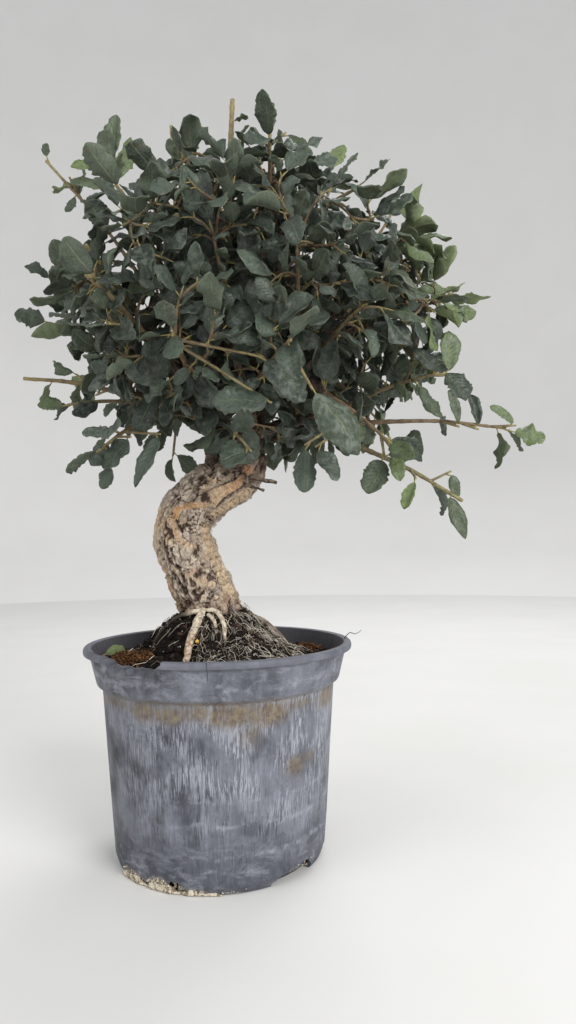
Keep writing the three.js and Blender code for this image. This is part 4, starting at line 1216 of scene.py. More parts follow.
def add_root(heap, path, sides, speckled, darkens, seed):
    """A pale surface root. look.x is how speckled and brown it is, look.z how dark."""
    path = smooth_path(path, 0.7)
    share = np.linspace(0, 1, len(path))
    path[:, :3] += 0.55 * drift(path[:, :3] / 6.5, 9, seed + 20) * np.minimum(1, share * 6)[:, None]
    swelling = 0.16 * smooth_noise(path[:, :3] / 4.4, seed + 30)
    path[:, 3] *= 0.9 + swelling - 0.45 * darkens * ease(0.2, 0.7, share)
    rings, ways = tube_rings(path, sides)
    spots = rings.reshape(-1, 3)
    relief = 0.38 * rough_noise(spots / 2.6, 2, seed) + 0.12 * rough_noise(spots / 0.8, 1, seed + 3)
    relief = relief * np.repeat(np.minimum(path[:, 3] / 2.2, 1), sides)
    along = np.append(np.repeat(share, sides), [0, 1])
    look = [speckled * ease(0.35, 0.7, along), along, darkens * ease(0.18, 0.42, along)]
    heap.add(*skin(rings + ways * relief.reshape(len(path), sides, 1)), np.stack(look, axis=1))


# Soil


def soil_height(x, y):
    away = np.hypot(x - MOUND_CENTRE[0], y - MOUND_CENTRE[1])
    slope = np.maximum(away - MOUND_TOP_RADIUS, 0) / MOUND_SPREAD
    lumps = 1.1 * np.sin(x * 0.13 + 0.6) * np.cos(y * 0.11) + 0.7 * np.sin(x * 0.29 - y * 0.23)
    return SOIL_LEVEL + MOUND_HEIGHT * np.exp(-slope * slope) + lumps * np.minimum(slope, 1)


def soil_body():
    turns = full_turn(300)
    gap = WALL + 0.4
    rings = [
        round_axis(BASE_RADIUS - gap - 0.8, turns, 2.7),
        round_axis(BODY_TOP_RADIUS - gap, turns, BODY_TOP_HEIGHT + 1.6),
        round_axis(BAND_FOOT_RADIUS - gap, turns, BAND_FOOT_HEIGHT + 1.6),
    ]
    edge = BAND_FOOT_RADIUS + 1.6 - gap
    for radius in np.linspace(edge, 0.6, 96):
        spots = round_axis(radius, turns, 0.0)
        spots[:, 2] = soil_height(spots[:, 0], spots[:, 1])
        grain = 1.1 * rough_noise(spots / 4.2, 3, 70) + 0.8 * np.abs(rough_noise(spots / 1.7, 2, 75))
        grain += 0.9 * (0.5 - nearest_seed(spots / 2.6, 79))
        spots[:, 2] += grain * min(1, (edge - radius) / 2 + 0.3) - 0.5
        rings.append(spots)
    heap = Heap()
    heap.add(*skin(np.array(rings)))
    return heap


# A crumb has a point at each end, and two rings of five corners between them
CRUMB_RING = np.array(
    [[0.89, 0, 0.45], [0.28, 0.85, 0.45], [-0.72, 0.53, 0.45], [-0.72, -0.53, 0.45], [0.28, -0.85, 0.45]]
)
CRUMB_CORNERS = np.vstack([[0, 0, 1], CRUMB_RING, -CRUMB_RING[[3, 4, 0, 1, 2]], [0, 0, -1]])
CRUMB_FACES = (
    [(0, i, i % 5 + 1) for i in range(1, 6)]
    + [(11, (i + 1) % 5 + 6, i + 6) for i in range(5)]
    + [(i + 1, i + 6, (i + 1) % 5 + 1) for i in range(5)]
    + [((i + 1) % 5 + 1, i + 6, (i + 1) % 5 + 6) for i in range(5)]
)


def add_crumb(heap, at, size, dice, look, stretch=(1, 1, 1)):
    turn = dice.uniform(0, 6.28)
    lean = dice.uniform(-0.8, 0.8)
    jitter = np.array([[dice.uniform(0.7, 1.3)] for _ in range(12)])
    spots = CRUMB_CORNERS * jitter * size * np.array(stretch)
    c, s = math.cos(lean), math.sin(lean)
    spots = spots @ np.array([[1, 0, 0], [0, c, -s], [0, s, c]])
    c, s = math.cos(turn), math.sin(turn)
    spots = spots @ np.array([[c, -s, 0], [s, c, 0], [0, 0, 1]])
    heap.add(spots + np.array(at), CRUMB_FACES, look)


def pot_place(dice, low, high):
    radius = math.sqrt(dice.uniform(low * low, high * high))
    turn = dice.uniform(-math.pi, math.pi)
    return radius * math.sin(turn), -radius * math.cos(turn)


def on_soil(x, y, lift):
    return [x, y, float(soil_height(x, y)) + lift]


def soil_crumbs():
    dice = random.Random(71)
    heap = Heap()
    for _ in range(CRUMB_COUNT):
        x, y = pot_place(dice, 12, 73)
        size = dice.choice(CRUMB_SIZES)
        look = (dice.random(), 0, 0)
        add_crumb(heap, on_soil(x, y, size * 0.25), size, dice, look, (1, dice.uniform(0.6, 1.4), 0.7))
    return heap


def pale_grains():
    dice = random.Random(72)
    heap = Heap()
    for _ in range(GRAIN_COUNT):
        x, y = pot_place(dice, 18, 72)
        size = dice.choice(GRAIN_SIZES)
        add_crumb(heap, on_soil(x, y, size * 0.6 + 0.3), size, dice, (1, dice.random(), 0))
    add_crumb(heap, YELLOW_GRAIN, 1.3, dice, (1, 0.5, 1))
    for _ in range(FOOT_GRAIN_COUNT):
        turn = math.radians(dice.uniform(-22, -13))
        spot = round_axis(dice.uniform(60, 62.5), turn, dice.uniform(0.8, 6))
        add_crumb(heap, spot, dice.uniform(0.4, 1.1), dice, (1, dice.random(), 0))
    return heap


def add_hair(heap, points, radius, look):
    path = [[*point, radius * (1 - 0.5 * i / (len(points) - 1))] for i, point in enumerate(points)]
    heap.add(*skin(tube_rings(smooth_path(path, 2.4), 3)[0]), look)


def hair_roots():
    """Fine roots that lie matted over the mound, most of them right of the trunk."""
    dice = random.Random(73)
    heap = Heap()
    for i in range(HAIR_COUNT):
        turn = dice.uniform(-0.15, 1.9) if i < RIGHT_HAIR_COUNT else dice.uniform(-3.1, 3.1)
        away = 19 + 36 * dice.random() ** 0.8
        x = MOUND_CENTRE[0] + away * math.sin(turn)
        y = MOUND_CENTRE[1] - away * math.cos(turn)
        way = math.atan2(y - MOUND_CENTRE[1], x - MOUND_CENTRE[0]) + dice.gauss(0, 0.8)
        points = []
        step = dice.uniform(1.2, 3.4)
        hop = dice.uniform(0.2, 1.8)
        count = dice.randint(3, 6)
        for k in range(count):
            points.append(on_soil(x, y, hop * math.sin(math.pi * k / (count - 1)) + dice.uniform(0.4, 2.4)))
            way += dice.gauss(0, 0.5)
            x += step * math.cos(way)
            y += step * math.sin(way)
        if math.hypot(x, y) <= 70:
            add_hair(heap, points, dice.choice(HAIR_RADII), (dice.random(), dice.random(), 0))
    for _ in range(TRUNK_HAIR_COUNT):
        turn = dice.uniform(-0.9, 2.6)
        points = [np.array([-2 + 18 * math.sin(turn), 2 - 18 * math.cos(turn), dice.uniform(142, 154)])]
        way = np.array([math.sin(turn), -math.cos(turn), -0.5])
        for _ in range(3):
            way = way + np.array([dice.gauss(0, 0.5), dice.gauss(0, 0.5), -0.25])
            points.append(points[-1] + unit(way) * dice.uniform(1.5, 4))
        add_hair(heap, points, dice.choice(TRUNK_HAIR_RADII), (dice.random(), dice.random(), 0))
    return heap


def moss_clumps():
    dice = random.Random(74)
    heap = Heap()
    for x, y, wide, deep, count in MOSS_PATCHES:
        for _ in range(count):
            u, v = dice.gauss(0, 0.42), dice.gauss(0, 0.42)
            spot_x, spot_y = x + wide * u, y + deep * v
            if math.hypot(spot_x, spot_y) > 72:
                continue
            start = np.array(on_soil(spot_x, spot_y, max(0, 1 - u * u - v * v) * dice.uniform(1.0, 6.5)))
            size = dice.uniform(0.4, 1.15)
            look = (dice.random(), dice.random(), 0)
            add_crumb(heap, start, size, dice, look, (1, dice.uniform(0.4, 1.5), 0.7))
            if dice.random() < 0.7:
                way = unit(np.array([dice.gauss(0, 1), dice.gauss(0, 1), 0.8]))
                end = start + way * 2.6 + np.array([0.8, 0.4, -0.6])
                add_hair(heap, [start, start + way * 1.8, end], 0.22, look)
    return heap


# The pot


def pot_profile():
    """Radius and height, up the outside, over the lip and down the inside."""

    def run(start, end, count):
        return [between(np.array([start, end]), share) for share in (np.arange(count) + 1) / count]

    return np.array(
        [
            (30.0, 0.0), (60.0, 0.0), (63.2, 0.0), (63.8, 0.35), (64.2, 1.3),
            *run((64.2, 1.3), (BODY_FOOT_RADIUS, BODY_FOOT_HEIGHT), 3),
            *run((BODY_FOOT_RADIUS, BODY_FOOT_HEIGHT), (BODY_TOP_RADIUS - 0.1, 103.6), 56),
            (73.5, 104.6), (74.1, 105.5), (75.4, 106.6), (76.6, 107.5), (77.15, 108.6),
            *run((77.15, 108.6), (81.0, 124.6), 11),
            (81.3, 125.2), (82.2, 125.5), (83.9, 125.6), (84.7, 126.0), (85.0, 126.9), (85.0, 128.2),
            (84.7, 129.2), (84.0, 129.85), (83.0, 130.0), (81.6, 129.7), (80.7, 129.75), (80.1, 129.4),
            *run((79.7, 128.4), (75.4, 109.2), 9),
            (73.0, 107.6), (71.8, 106.2),
            *run((71.7, 105.8), (64.1, 6), 16),
            (63.0, 3.6), (61.0, 2.4), (30.0, 2.4),
        ]
    )


def ragged(angles, heights, step, size, dice):
    """More angles between the given ones, with small random ups and downs of the height."""
    finer = np.arange(angles[0], angles[-1] + step / 2, step)
    return finer, np.interp(finer, angles, heights) + np.array([dice.uniform(-size, size) for _ in finer])


def wall_cutter(angles, lower, upper, inner, outer):
    """A block that follows the pot's wall, from angle to angle, between a lower and an upper edge."""
    corners = ((inner, lower), (outer, lower), (outer, upper), (inner, upper))
    rings = np.stack([round_axis(radius, np.radians(angles), z) for radius, z in corners], axis=1)
    vertices, faces = skin(rings)
    return mesh_of("pot_cutter", vertices * MM, faces)


def pot_cutters():
    dice = random.Random(31)
    cutters = []
    for angles, heights, step, size in LIP_BREAKS:
        angles, lower = ragged(angles, heights, step, size, dice)
        cutters.append(wall_cutter(angles, lower, ABOVE_LIP, *LIP_CUT_RADII))
    cutters.append(wall_cutter(*LIP_CRACK, ABOVE_LIP, *CRACK_CUT_RADII))
    for angles, heights in FOOT_NOTCHES:
        angles, upper = ragged(angles, heights, 1, 0.35, dice)
        cutters.append(wall_cutter(angles, BELOW_FOOT, upper, *FOOT_CUT_RADII))
    for middle in DRAIN_NOTCHES:
        angles = [middle + step for step in DRAIN_STEPS]
        cutters.append(wall_cutter(angles, BELOW_FOOT, DRAIN_TOPS, *FOOT_CUT_RADII))
    return cutters


def pot_mesh():
    profile = pot_profile()
    points = round_axis(profile[:, :1], full_turn(POT_SIDES)[None], profile[:, 1:]).reshape(-1, 3)
    dent = 0.35 * rough_noise(points * (1, 1, 0.4) / 38, 2, 90) * ease(4, 30, points[:, 2])
    outwards = points[:, :2] / np.maximum(norm(points[:, :2], axis=1), 1)[:, None]
    points[:, :2] += outwards * dent[:, None]
    vertices, faces = skin(points.reshape(len(profile), POT_SIDES, 3))
    body = placed("pot_shell", mesh_of("pot_shell", vertices * MM, faces))
    helpers = [placed("pot_cutter", mesh) for mesh in pot_cutters()]
    for helper in helpers:
        cut = body.modifiers.new("cut", "BOOLEAN")
        cut.operation = "DIFFERENCE"
        cut.solver = "EXACT"
        cut.object = helper
    bpy.context.view_layer.update()
    made = bpy.data.meshes.new_from_object(body.evaluated_get(bpy.context.evaluated_depsgraph_get()))
    for helper in [body, *helpers]:
        bpy.data.objects.remove(helper)
    return made


def patches(degrees, height, marks):
    total = np.zeros(len(height))
    for middle, z, wide, tall, strength in marks:
        away = (degrees - middle + 180) % 360 - 180
        total = np.maximum(total, strength * np.exp(-((away / wide) ** 2) - ((height - z) / tall) ** 2))
    return total


def build_pot(material):
    """look holds stain, crust and what is outside, and place holds band, foot and lip."""
    mesh = pot_mesh()
    points = np.zeros(len(mesh.vertices) * 3)
    mesh.vertices.foreach_get("co", points)
    points = points.reshape(-1, 3) / MM
    degrees = np.degrees(np.arctan2(points[:, 0], -points[:, 1]))
    height = points[:, 2]
    wall_radius = np.interp(height, *zip(*OUTSIDE))
    outside = (np.hypot(points[:, 0], points[:, 1]) > wall_radius - 0.9).astype(float)
    stain, crust = (patches(degrees, height, marks) * outside for marks in (STAINS, CRUSTS))
    store(mesh, "look", np.stack([stain, crust, outside], axis=1))
    foot = 1 - ease(8, 42, height + 6 * smooth_noise(points / 22, 95))
    store(mesh, "place", np.stack([ease(106, 109, height), foot, ease(125, 126, height)], axis=1))
    add_piece("nursery_pot", mesh, material, ["pot"])
    mesh.set_sharp_from_angle(angle=math.radians(SHARP_ANGLE))


def foot_crust():
    """Lime and old roots caked along the foot of the pot, as a thin uneven skirt with some crumbs."""
    dice = random.Random(33)
    heap = Heap()
    degrees = np.arange(-58, 6, 0.5)
    tops = 0.5 + 5.5 * patches(degrees, np.full(len(degrees), 2.5), CRUSTS)
    spots = np.stack([degrees / 2.4, degrees * 0, degrees * 0], axis=1)
    tops = np.maximum(tops * (0.75 + 0.45 * rough_noise(spots, 3, 97)) + 0.3, 0.6)
    thick = np.minimum(1.0, tops / 3)
    shape = [(62.8, 0.12), (64.2 + 1.1 * thick, 0.15), (64.5 + 1.2 * thick, tops * 0.3)]
    shape += [(64.6 + 1.0 * thick, tops * 0.65), (64.3 + 0.4 * thick, tops), (63.2, tops)]
    rings = np.stack([round_axis(radius, np.radians(degrees), z) for radius, z in shape], axis=1)
    points = rings[:, 1:5].reshape(-1, 3)
    bumps = 0.55 * rough_noise(points / 1.5, 3, 98)
    outwards = points * [1, 1, 0] / norm(points[:, :2], axis=1)[:, None]
    rings[:, 1:5] = (points + outwards * bumps[:, None]).reshape(len(rings), 4, 3)
    heap.add(*skin(rings), (1, 0.35, 0))
    for middle, z, wide, tall, strength in CRUSTS:
        for _ in range(int(26 * strength)):
            turn = math.radians(middle + dice.gauss(0, wide * 0.55))
            height = min(max(z + dice.gauss(0, tall * 0.5), 1.2), 8)
            spot = round_axis(64.1 + height * 0.3 + dice.uniform(-0.2, 0.6), turn, height)
            add_crumb(heap, spot, dice.uniform(0.3, 0.8), dice, (1, dice.random(), 0), (1.2, 1.2, 0.6))
    return heap


# Materials


def rgb(red, green, blue):
    """A display colour of 0 to 255 as the linear numbers that shaders use."""
    shares = [value / 255 for value in (red, green, blue)]
    return (*(s / 12.92 if s <= 0.04045 else ((s + 0.055) / 1.055) ** 2.4 for s in shares), 1.0)


def add_node(tree, kind, inputs, output=0, **settings):
    made = tree.nodes.new("ShaderNode" + kind)
    for key, value in settings.items():
        setattr(made, key, value)
    for key, value in inputs.items():
        if isinstance(value, Output):
            tree.links.new(value.socket, made.inputs[key])
        else:
            made.inputs[key].default_value = value
    return Output(made.outputs[output])


class Output:
    """A node's output. Sums work on it as on a number, and | takes the larger of two."""

    def __init__(self, socket):
        self.socket = socket

    def math(self, operation, first, second=0.0):
        return add_node(self.socket.id_data, "Math", {0: first, 1: second}, operation=operation)

    def __add__(self, other):
        return self.math("ADD", self, other)

    def __sub__(self, other):
        return self.math("SUBTRACT", self, other)

    def __rsub__(self, other):
        return self.math("SUBTRACT", other, self)

    def __mul__(self, other):
        return self.math("MULTIPLY", self, other)

    def __or__(self, other):
        return self.math("MAXIMUM", self, other)

    def __abs__(self):
        return self.math("ABSOLUTE", self)

    def step(self, low, high, bottom=0.0, top=1.0):
        """Eases from bottom to top where this output goes from low to high."""
        inputs = {"Value": self, "From Min": low, "From Max": high, "To Min": bottom, "To Max": top}
        return add_node(self.socket.id_data, "MapRange", inputs, interpolation_type="SMOOTHSTEP")

    def parts(self):
        made = self.socket.id_data.nodes.new("ShaderNodeSeparateXYZ")
        self.socket.id_data.links.new(self.socket, made.inputs[0])
        return [Output(part) for part in made.outputs]


def mix(share, first, second):
    """A colour between two, which are outputs or display colours of 0 to 255."""
    first, second = (rgb(*colour) if isinstance(colour, tuple) else colour for colour in (first, second))
    return add_node(share.socket.id_data, "Mix", {0: share, 6: first, 7: second}, 2, data_type="RGBA")


class Shade:
    """A material, and the nodes that its colour starts from."""

    def __init__(self, name, specular):
        self.material = bpy.data.materials.new(name)
        self.material.use_nodes = True
        self.tree = self.material.node_tree
        self.shader = self.tree.nodes["Principled BSDF"].inputs
        self.shader["Specular IOR Level"].default_value = specular
        self.coordinates = add_node(self.tree, "TexCoord", {}, "Object")

    def spots(self, x=1.0, y=1.0, z=1.0):
        """Object coordinates in millimetres, squeezed by a share along each axis."""
        scale = (x / MM, y / MM, z / MM)
        return add_node(self.tree, "VectorMath", {0: self.coordinates, 1: scale}, operation="MULTIPLY")

    def noise(self, size, detail=3.0, rough=0.55, vector=None, warp=0.0):
        inputs = {"Vector": vector or self.spots(), "Scale": 1 / size, "Detail": detail}
        return add_node(self.tree, "TexNoise", {**inputs, "Roughness": rough, "Distortion": warp})

    def seams(self, size, width, vector, detail=3.0):
        """Thin wandering lines, 1 along their middles."""
        return abs(self.noise(size, detail, 0.6, vector) - 0.5).step(width, 0.0)

    def numbers(self, name):
        """The three numbers stored at each vertex."""
        return add_node(self.tree, "Attribute", {}, 1, attribute_name=name).parts()

    def finish(self, colour, roughness, height=None, depth=0.3, strength=1.0):
        self.tree.links.new(colour.socket, self.shader["Base Color"])
        if isinstance(roughness, Output):
            self.tree.links.new(roughness.socket, self.shader["Roughness"])
        else:
            self.shader["Roughness"].default_value = roughness
        if height:
            inputs = {"Height": height, "Strength": strength, "Distance": depth * MM}
            bump = add_node(self.tree, "Bump", inputs)
            self.tree.links.new(bump.socket, self.shader["Normal"])
        return self.material


def leaf_material():
    shade = Shade("oak_leaf", 0.38)
    noise = shade.noise
    along, across, under = shade.numbers("place")
    tint, fresh, dust_and_sheen = shade.numbers("look")
    width = abs(across)
    upper = mix(fresh.step(0.15, 0.9), mix(tint, (24, 31, 29), (72, 83, 71)), (108, 124, 74))
    upper = mix(noise(2.6, 5).step(0.38, 0.7, 0, 0.45), upper, (68, 80, 66))
    upper = mix(noise(1.7, 4).step(0.5, 0.7, 0, 0.5), upper, (24, 31, 30))
    # Pale grey patches on some leaves: partly dust, partly painted sheen
    upper = mix(noise(3.8, 5).step(0.42, 0.66) * dust_and_sheen.step(0.3, 1.0, 0.05, 0.6), upper, (116, 124, 114))
    slope = along * 8.5 - width * 2.1
    side_vein = abs(slope.math("FRACT", slope) - 0.5).step(0.08, 0.0) * width.step(1.0, 0.4)
    midrib = width.step(0.075, 0.02)
    upper = mix(side_vein * 0.2, upper, (100, 112, 86))
    upper = mix(midrib * fresh.step(0.0, 0.7, 0.22, 0.6), upper, (122, 128, 88))
    upper = mix(noise(1.3, 4, 0.7).step(0.54, 0.68, 0, 0.45), upper, (96, 106, 90))
    lower = mix(fresh.step(0.15, 0.9), mix(tint, (54, 63, 54), (90, 100, 84)), (120, 133, 90))
    lower = mix(noise(1.2, 3).step(0.3, 0.7, 0, 0.35), lower, (116, 126, 108))
    lower = mix((side_vein * 0.5 | midrib) * 0.5, lower, (132, 137, 102))
    colour = mix(under.step(0.7, 0.9), upper, lower)
    colour = mix(width.step(0.9, 1.0) * 0.25, colour, (116, 116, 80))
    colour = mix(noise(5.5, 3).step(0.68, 0.74) * 0.6, colour, (92, 72, 48))
    stalk = under.step(0.3, 0.5) * under.step(0.7, 0.5) * along.step(0.02, 0.0)
    colour = mix(stalk, colour, (136, 126, 76))
    rough = under * 0.25 + noise(4).step(0.3, 0.7, 0.38, 0.6)
    return shade.finish(colour, rough, noise(1.6, 4, 0.6) - (side_vein | midrib) * 0.8, 0.45, 0.8)


def twig_material():
    shade = Shade("twig_bark", 0.25)
    olive, _, cut = shade.numbers("look")
    chance = shade.numbers("place")[0]
    young = mix(chance, (150, 145, 98), (138, 122, 84))
    fine = shade.noise(1.1, 4)
    colour = mix(olive, mix(chance, (74, 60, 51), (110, 90, 72)), young)
    colour = mix(fine.step(0.45, 0.75, 0, 0.5), colour, (158, 146, 118))
    colour = mix(shade.noise(3.5, 3).step(0.42, 0.66, 0, 0.5), colour, (74, 57, 46))
    colour = mix(cut.step(0.35, 0.6), colour, (186, 172, 132))
    return shade.finish(colour, 0.7, fine, 0.25, 0.7)


def bark_material():
    shade = Shade("cork_bark", 0.15)
    height, tan, orange = shade.numbers("look")
    dark, foot, head = shade.numbers("place")
    fine = shade.noise(0.8, 5, 0.7)
    fissure = shade.seams(2.8, 0.03, shade.spots(1, 1, 0.5))
    hairline = shade.seams(1.4, 0.035, shade.spots(0.7, 0.7, 1.2))
    level = height + (fine - 0.5) * 0.7
    colour = mix(level.step(0.1, 0.4), (98, 82, 72), (172, 153, 136))
    grey = mix(shade.noise(7, 4).step(0.35, 0.65), (192, 175, 157), (240, 225, 206))
    colour = mix(level.step(0.3, 0.6), colour, grey)
    warm = mix(fine.step(0.3, 0.7), (214, 184, 146), (246, 225, 190))
    colour = mix(tan * level.step(0.1, 0.4), colour, warm)
    rust = mix(fine.step(0.35, 0.7), (208, 140, 86), (232, 180, 128))
    colour = mix(orange * level.step(0.1, 0.45), colour, rust)
    colour = mix(foot * 0.75, colour, mix(level.step(0.3, 0.75), (86, 66, 56), (170, 136, 110)))
    colour = mix(head * 0.85, colour, mix(level.step(0.25, 0.75), (40, 32, 30), (112, 93, 79)))
    lines = fissure | hairline * 0.6
    colour = mix(lines * shade.noise(3.4, 3).step(0.38, 0.6, 0.1, 0.75), colour, (92, 75, 64))
    colour = mix(dark * 0.8, colour, (66, 52, 46))
    return shade.finish(colour, 0.92, fine - lines * 0.6, 0.9, 0.9)


def root_material():
    shade = Shade("pale_root", 0.2)
    speckled, _, dim = shade.numbers("look")
    fine = shade.noise(1.1, 5, 0.7)
    cream = mix(shade.noise(2.4, 4).step(0.35, 0.62), (168, 153, 130), (216, 205, 184))
    brown = mix(fine.step(0.42, 0.6), (96, 66, 48), (164, 134, 102))
    colour = mix(speckled * shade.noise(2.2, 4).step(0.45, 0.56) | speckled * 0.2, cream, brown)
    colour = mix(shade.noise(3.4, 4).step(0.56, 0.68, 0, 0.7), colour, (92, 76, 62))
    return shade.finish(mix(dim, colour, (36, 30, 28)), 0.8, fine, 0.3, 0.7)


def soil_material():
    shade = Shade("peaty_soil", 0.12)
    light = shade.numbers("look")[0]
    fine = shade.noise(0.9, 5, 0.75)
    colour = mix(shade.noise(8, 4).step(0.35, 0.65), (17, 15, 15), (38, 31, 28))
    colour = mix(fine.step(0.55, 0.75, 0, 0.7), colour, (76, 62, 52))
    colour = mix(light.step(0.8, 1.0, 0, 0.7), colour, (104, 84, 68))
    return shade.finish(colour, 0.95, fine, 1.2, 1.0)


def grain_material():
    shade = Shade("pale_grain", 0.2)
    _, chance, yellow = shade.numbers("look")
    fine = shade.noise(0.8, 3)
    colour = mix(chance, (190, 178, 154), (226, 220, 206))
    colour = mix(fine.step(0.5, 0.75, 0, 0.7), colour, (150, 126, 92))
    colour = mix(shade.noise(2.6, 5, 0.65).step(0.46, 0.6, 0, 0.85), colour, (104, 88, 70))
    return shade.finish(mix(yellow, colour, (212, 178, 74)), 0.85, fine, 0.3, 0.7)


def hair_material():
    shade = Shade("hair_root", 0.2)
    first, second, _ = shade.numbers("look")
    fine = shade.noise(1.5, 3)
    colour = mix(second.step(0.15, 0.85), (118, 106, 90), (230, 222, 206))
    colour = mix(first.step(0.66, 0.7), colour, (46, 35, 30))
    colour = mix(fine.step(0.5, 0.8, 0, 0.4), colour, (110, 96, 80))
    return shade.finish(colour, 0.8, fine, 0.1, 0.4)


def moss_material():
    shade = Shade("dry_moss", 0.1)
    first, second, _ = shade.numbers("look")
    fine = shade.noise(0.7, 4)
    colour = mix(first, (70, 48, 32), (142, 101, 64))
    colour = mix(second.step(0.55, 1.0, 0, 0.9), colour, (48, 37, 30))
    colour = mix(fine.step(0.45, 0.7, 0, 0.7), colour, (60, 43, 31))
    return shade.finish(colour, 0.95, fine, 0.6, 0.9)


def pot_material():
    shade = Shade("worn_plastic", 0.3)
    noise, spots = shade.noise, shade.spots
    stain, crust, outside = shade.numbers("look")
    band, foot, lip = shade.numbers("place")
    side, _, level = spots().parts()
    sway = noise(45, 2) * 3.5
    streaky = add_node(shade.tree, "VectorMath", {0: spots(1, 1, 0.034), 1: sway}, operation="ADD")
    right = side.step(-72, 30)

    # Faded plastic, with painted light that makes the right side lighter
    wide = noise(10, 5, 0.65, spots(1, 1, 0.5))
    colour = mix(noise(26, 4).step(0.38, 0.62), (44, 45, 52), (92, 94, 102))
    colour = mix(wide.step(0.42, 0.68, 0, 0.6), colour, (122, 126, 136))
    # Painted light: the right side of the pot is made lighter, as if lit from the right
    colour = mix(right * 0.25, colour, (128, 131, 141))

    # Chalky streaks down the wall, and scratches through them
    fine_streak = noise(0.75, 4, 0.6, streaky).step(0.5, 0.6)
    worn = noise(1.9, 5, 0.65, streaky).step(0.48, 0.6) * 0.7 | fine_streak
    bare = (1.0 - (band * 0.9 | foot * 0.35)) * right.step(0.0, 1.0, 0.5, 1.0)
    region = bare * (noise(18, 4).step(0.36, 0.6, 0.1, 1.0) * level.step(10, 78, 0.45, 1.0))
    colour = mix(worn * region * 0.85, colour, (166, 169, 178))
    scratch = noise(1.0, 3, 0.5, streaky).step(0.6, 0.68)
    colour = mix(scratch * noise(12, 3).step(0.4, 0.62, 0.15, 0.9) * bare, colour, (54, 56, 66))
    long_lines = shade.seams(2.6, 0.012, streaky, 2)
    colour = mix(long_lines * noise(9, 3).step(0.42, 0.58, 0.1, 0.8) * bare, colour, (58, 60, 70))
    colour = mix(foot * 0.6, colour, (54, 56, 65))
    smear = noise(9, 6, 0.7, spots(0.6, 0.6, 1.3), 0.5).step(0.46, 0.7, 0, 0.55)
    colour = mix(smear * (foot | band), colour, (156, 159, 168))

    # Scribbles at the front left and pale scuffs round the lower wall
    across, up, wide_half, tall_half = SCRIBBLE
    near = abs(side - across).step(wide_half, 8) * abs(level - up).step(tall_half, 2)
    scribble = shade.seams(3.2, 0.02, spots(1, 1, 0.35), 4) | scratch * 0.8
    colour = mix(scribble * near * 0.8, colour, (48, 50, 58))
    wandering = level + noise(14, 3) * 9
    for height, width, strength in SCUFFS:
        scuff = abs(wandering - (height + 4.5)).step(width, 0.0, 0, strength) * noise(5, 4).step(0.4, 0.6)
        colour = mix(scuff * right, colour, (158, 162, 172))

    # Stains, lime crust, soot and the lip
    mark = stain.step(0.05, 0.8) * noise(2.2, 5, 0.7, spots(1, 1, 0.14)).step(0.36, 0.62, 0.5, 1.0)
    colour = mix(mark * 0.9, colour, mix(noise(4.5, 6, 0.75).step(0.3, 0.68), (132, 118, 88), (82, 62, 44)))
    crusty = mix(noise(1.2, 4).step(0.4, 0.6), (126, 108, 84), (206, 198, 180))
    colour = mix(crust.step(0.1, 0.6) * noise(1.6, 5, 0.7).step(0.42, 0.56), colour, crusty)
    colour = mix(noise(3.4, 5, 0.7).step(0.58, 0.7) * 0.5, colour, (62, 63, 71))
    colour = mix(lip * 0.75, colour, mix(wide, (70, 72, 80), (112, 114, 124)))
    colour = mix(outside, (68, 67, 72), colour)
    rise = noise(0.75, 4, 0.6, streaky) - scratch * 0.8
    return shade.finish(colour, worn.step(0.0, 1.0, 0.46, 0.7), rise, 0.2, 0.7)


# Building


def thinned(path, share):
    return [[*point[:3], point[3] * share] for point in path]


def drawn_smaller(leaves, named_leaves):
    """Drawn leaves are a little smaller than the solid ones, so that their wavy edges stay inside them."""
    for leaf in leaves:
        beside = BESIDE_TIP_SHARE if leaf.hides_tip() else 1
        leaf.length *= DRAWN_LENGTH_SHARE * beside
        leaf.width *= DRAWN_WIDTH_SHARE * beside
    for leaf in named_leaves:
        leaf.length *= NAMED_LENGTH_SHARE
    return named_leaves + leaves


def build_crown(leaf_look, twig_look, bark_look):
    limbs, stems = planned_crown()
    crown = Crown()
    for path in [*LEADER_PATHS, *limbs]:
        crown.add_path(path)
    for index, (path, _) in enumerate(stems):
        crown.add_path(path, index)
    names = [f"leafy_spray_{index + 1:02d}" for index in range(len(stems))]
    leaves_of, twigs = {}, []
    for index, (path, _) in enumerate(stems):
        named_twigs, leaves_of[index] = grow_named(crown, path, index)
        twigs += named_twigs
    for index, (path, bare) in enumerate(stems):
        side_twigs, leaves = grown_spray(path, bare, index, crown, len(leaves_of[index]) > 0)
        leaves_of[index] = drawn_smaller(leaves, leaves_of[index])
        twigs += side_twigs
    filling = fill_crown(crown, leaves_of)
    dice = random.Random(55)
    heap = Heap()
    for path, bare in stems:
        add_twig(heap, thinned(path, DRAWN_STEM_SHARE), 8, dice, (0.0, 1.0 if bare else 0.5))
    for twig in twigs:
        add_twig(heap, thinned(twig, DRAWN_STEM_SHARE), 6, dice, (0.3, 0.9))
    for twig in filling:
        add_twig(heap, twig, 5, dice, (0.0, 0.5), 4)
    heap.piece("leafy_twigs", twig_look, "twig", names)
    for index, leaves in leaves_of.items():
        heap = Heap()
        for leaf in leaves:
            add_leaf(heap, leaf, dice)
        heap.piece(f"leaves_{index + 1:02d}", leaf_look, "leaf", [names[index]])
    heap = Heap()
    for i, path in enumerate(LEADER_PATHS):
        path = thinned(path, DRAWN_LEADER_SHARE)
        add_branch(heap, path, sides=56, step=0.8, depth=1.5, headness=1.0, seed=200 + i)
    for i, path in enumerate(limbs):
        add_branch(heap, path, sides=14, step=1.8, depth=0.45, headness=0.9, seed=300 + i)
    for i, path in enumerate(DEAD_STUB_PATHS):
        path = thinned(path, DRAWN_STUB_SHARE)
        add_branch(heap, path, sides=14, step=0.9, depth=0.5, headness=0.9, seed=400 + i)
    heap.piece("leaders_and_limbs", bark_look, "bark", ["trunk"])


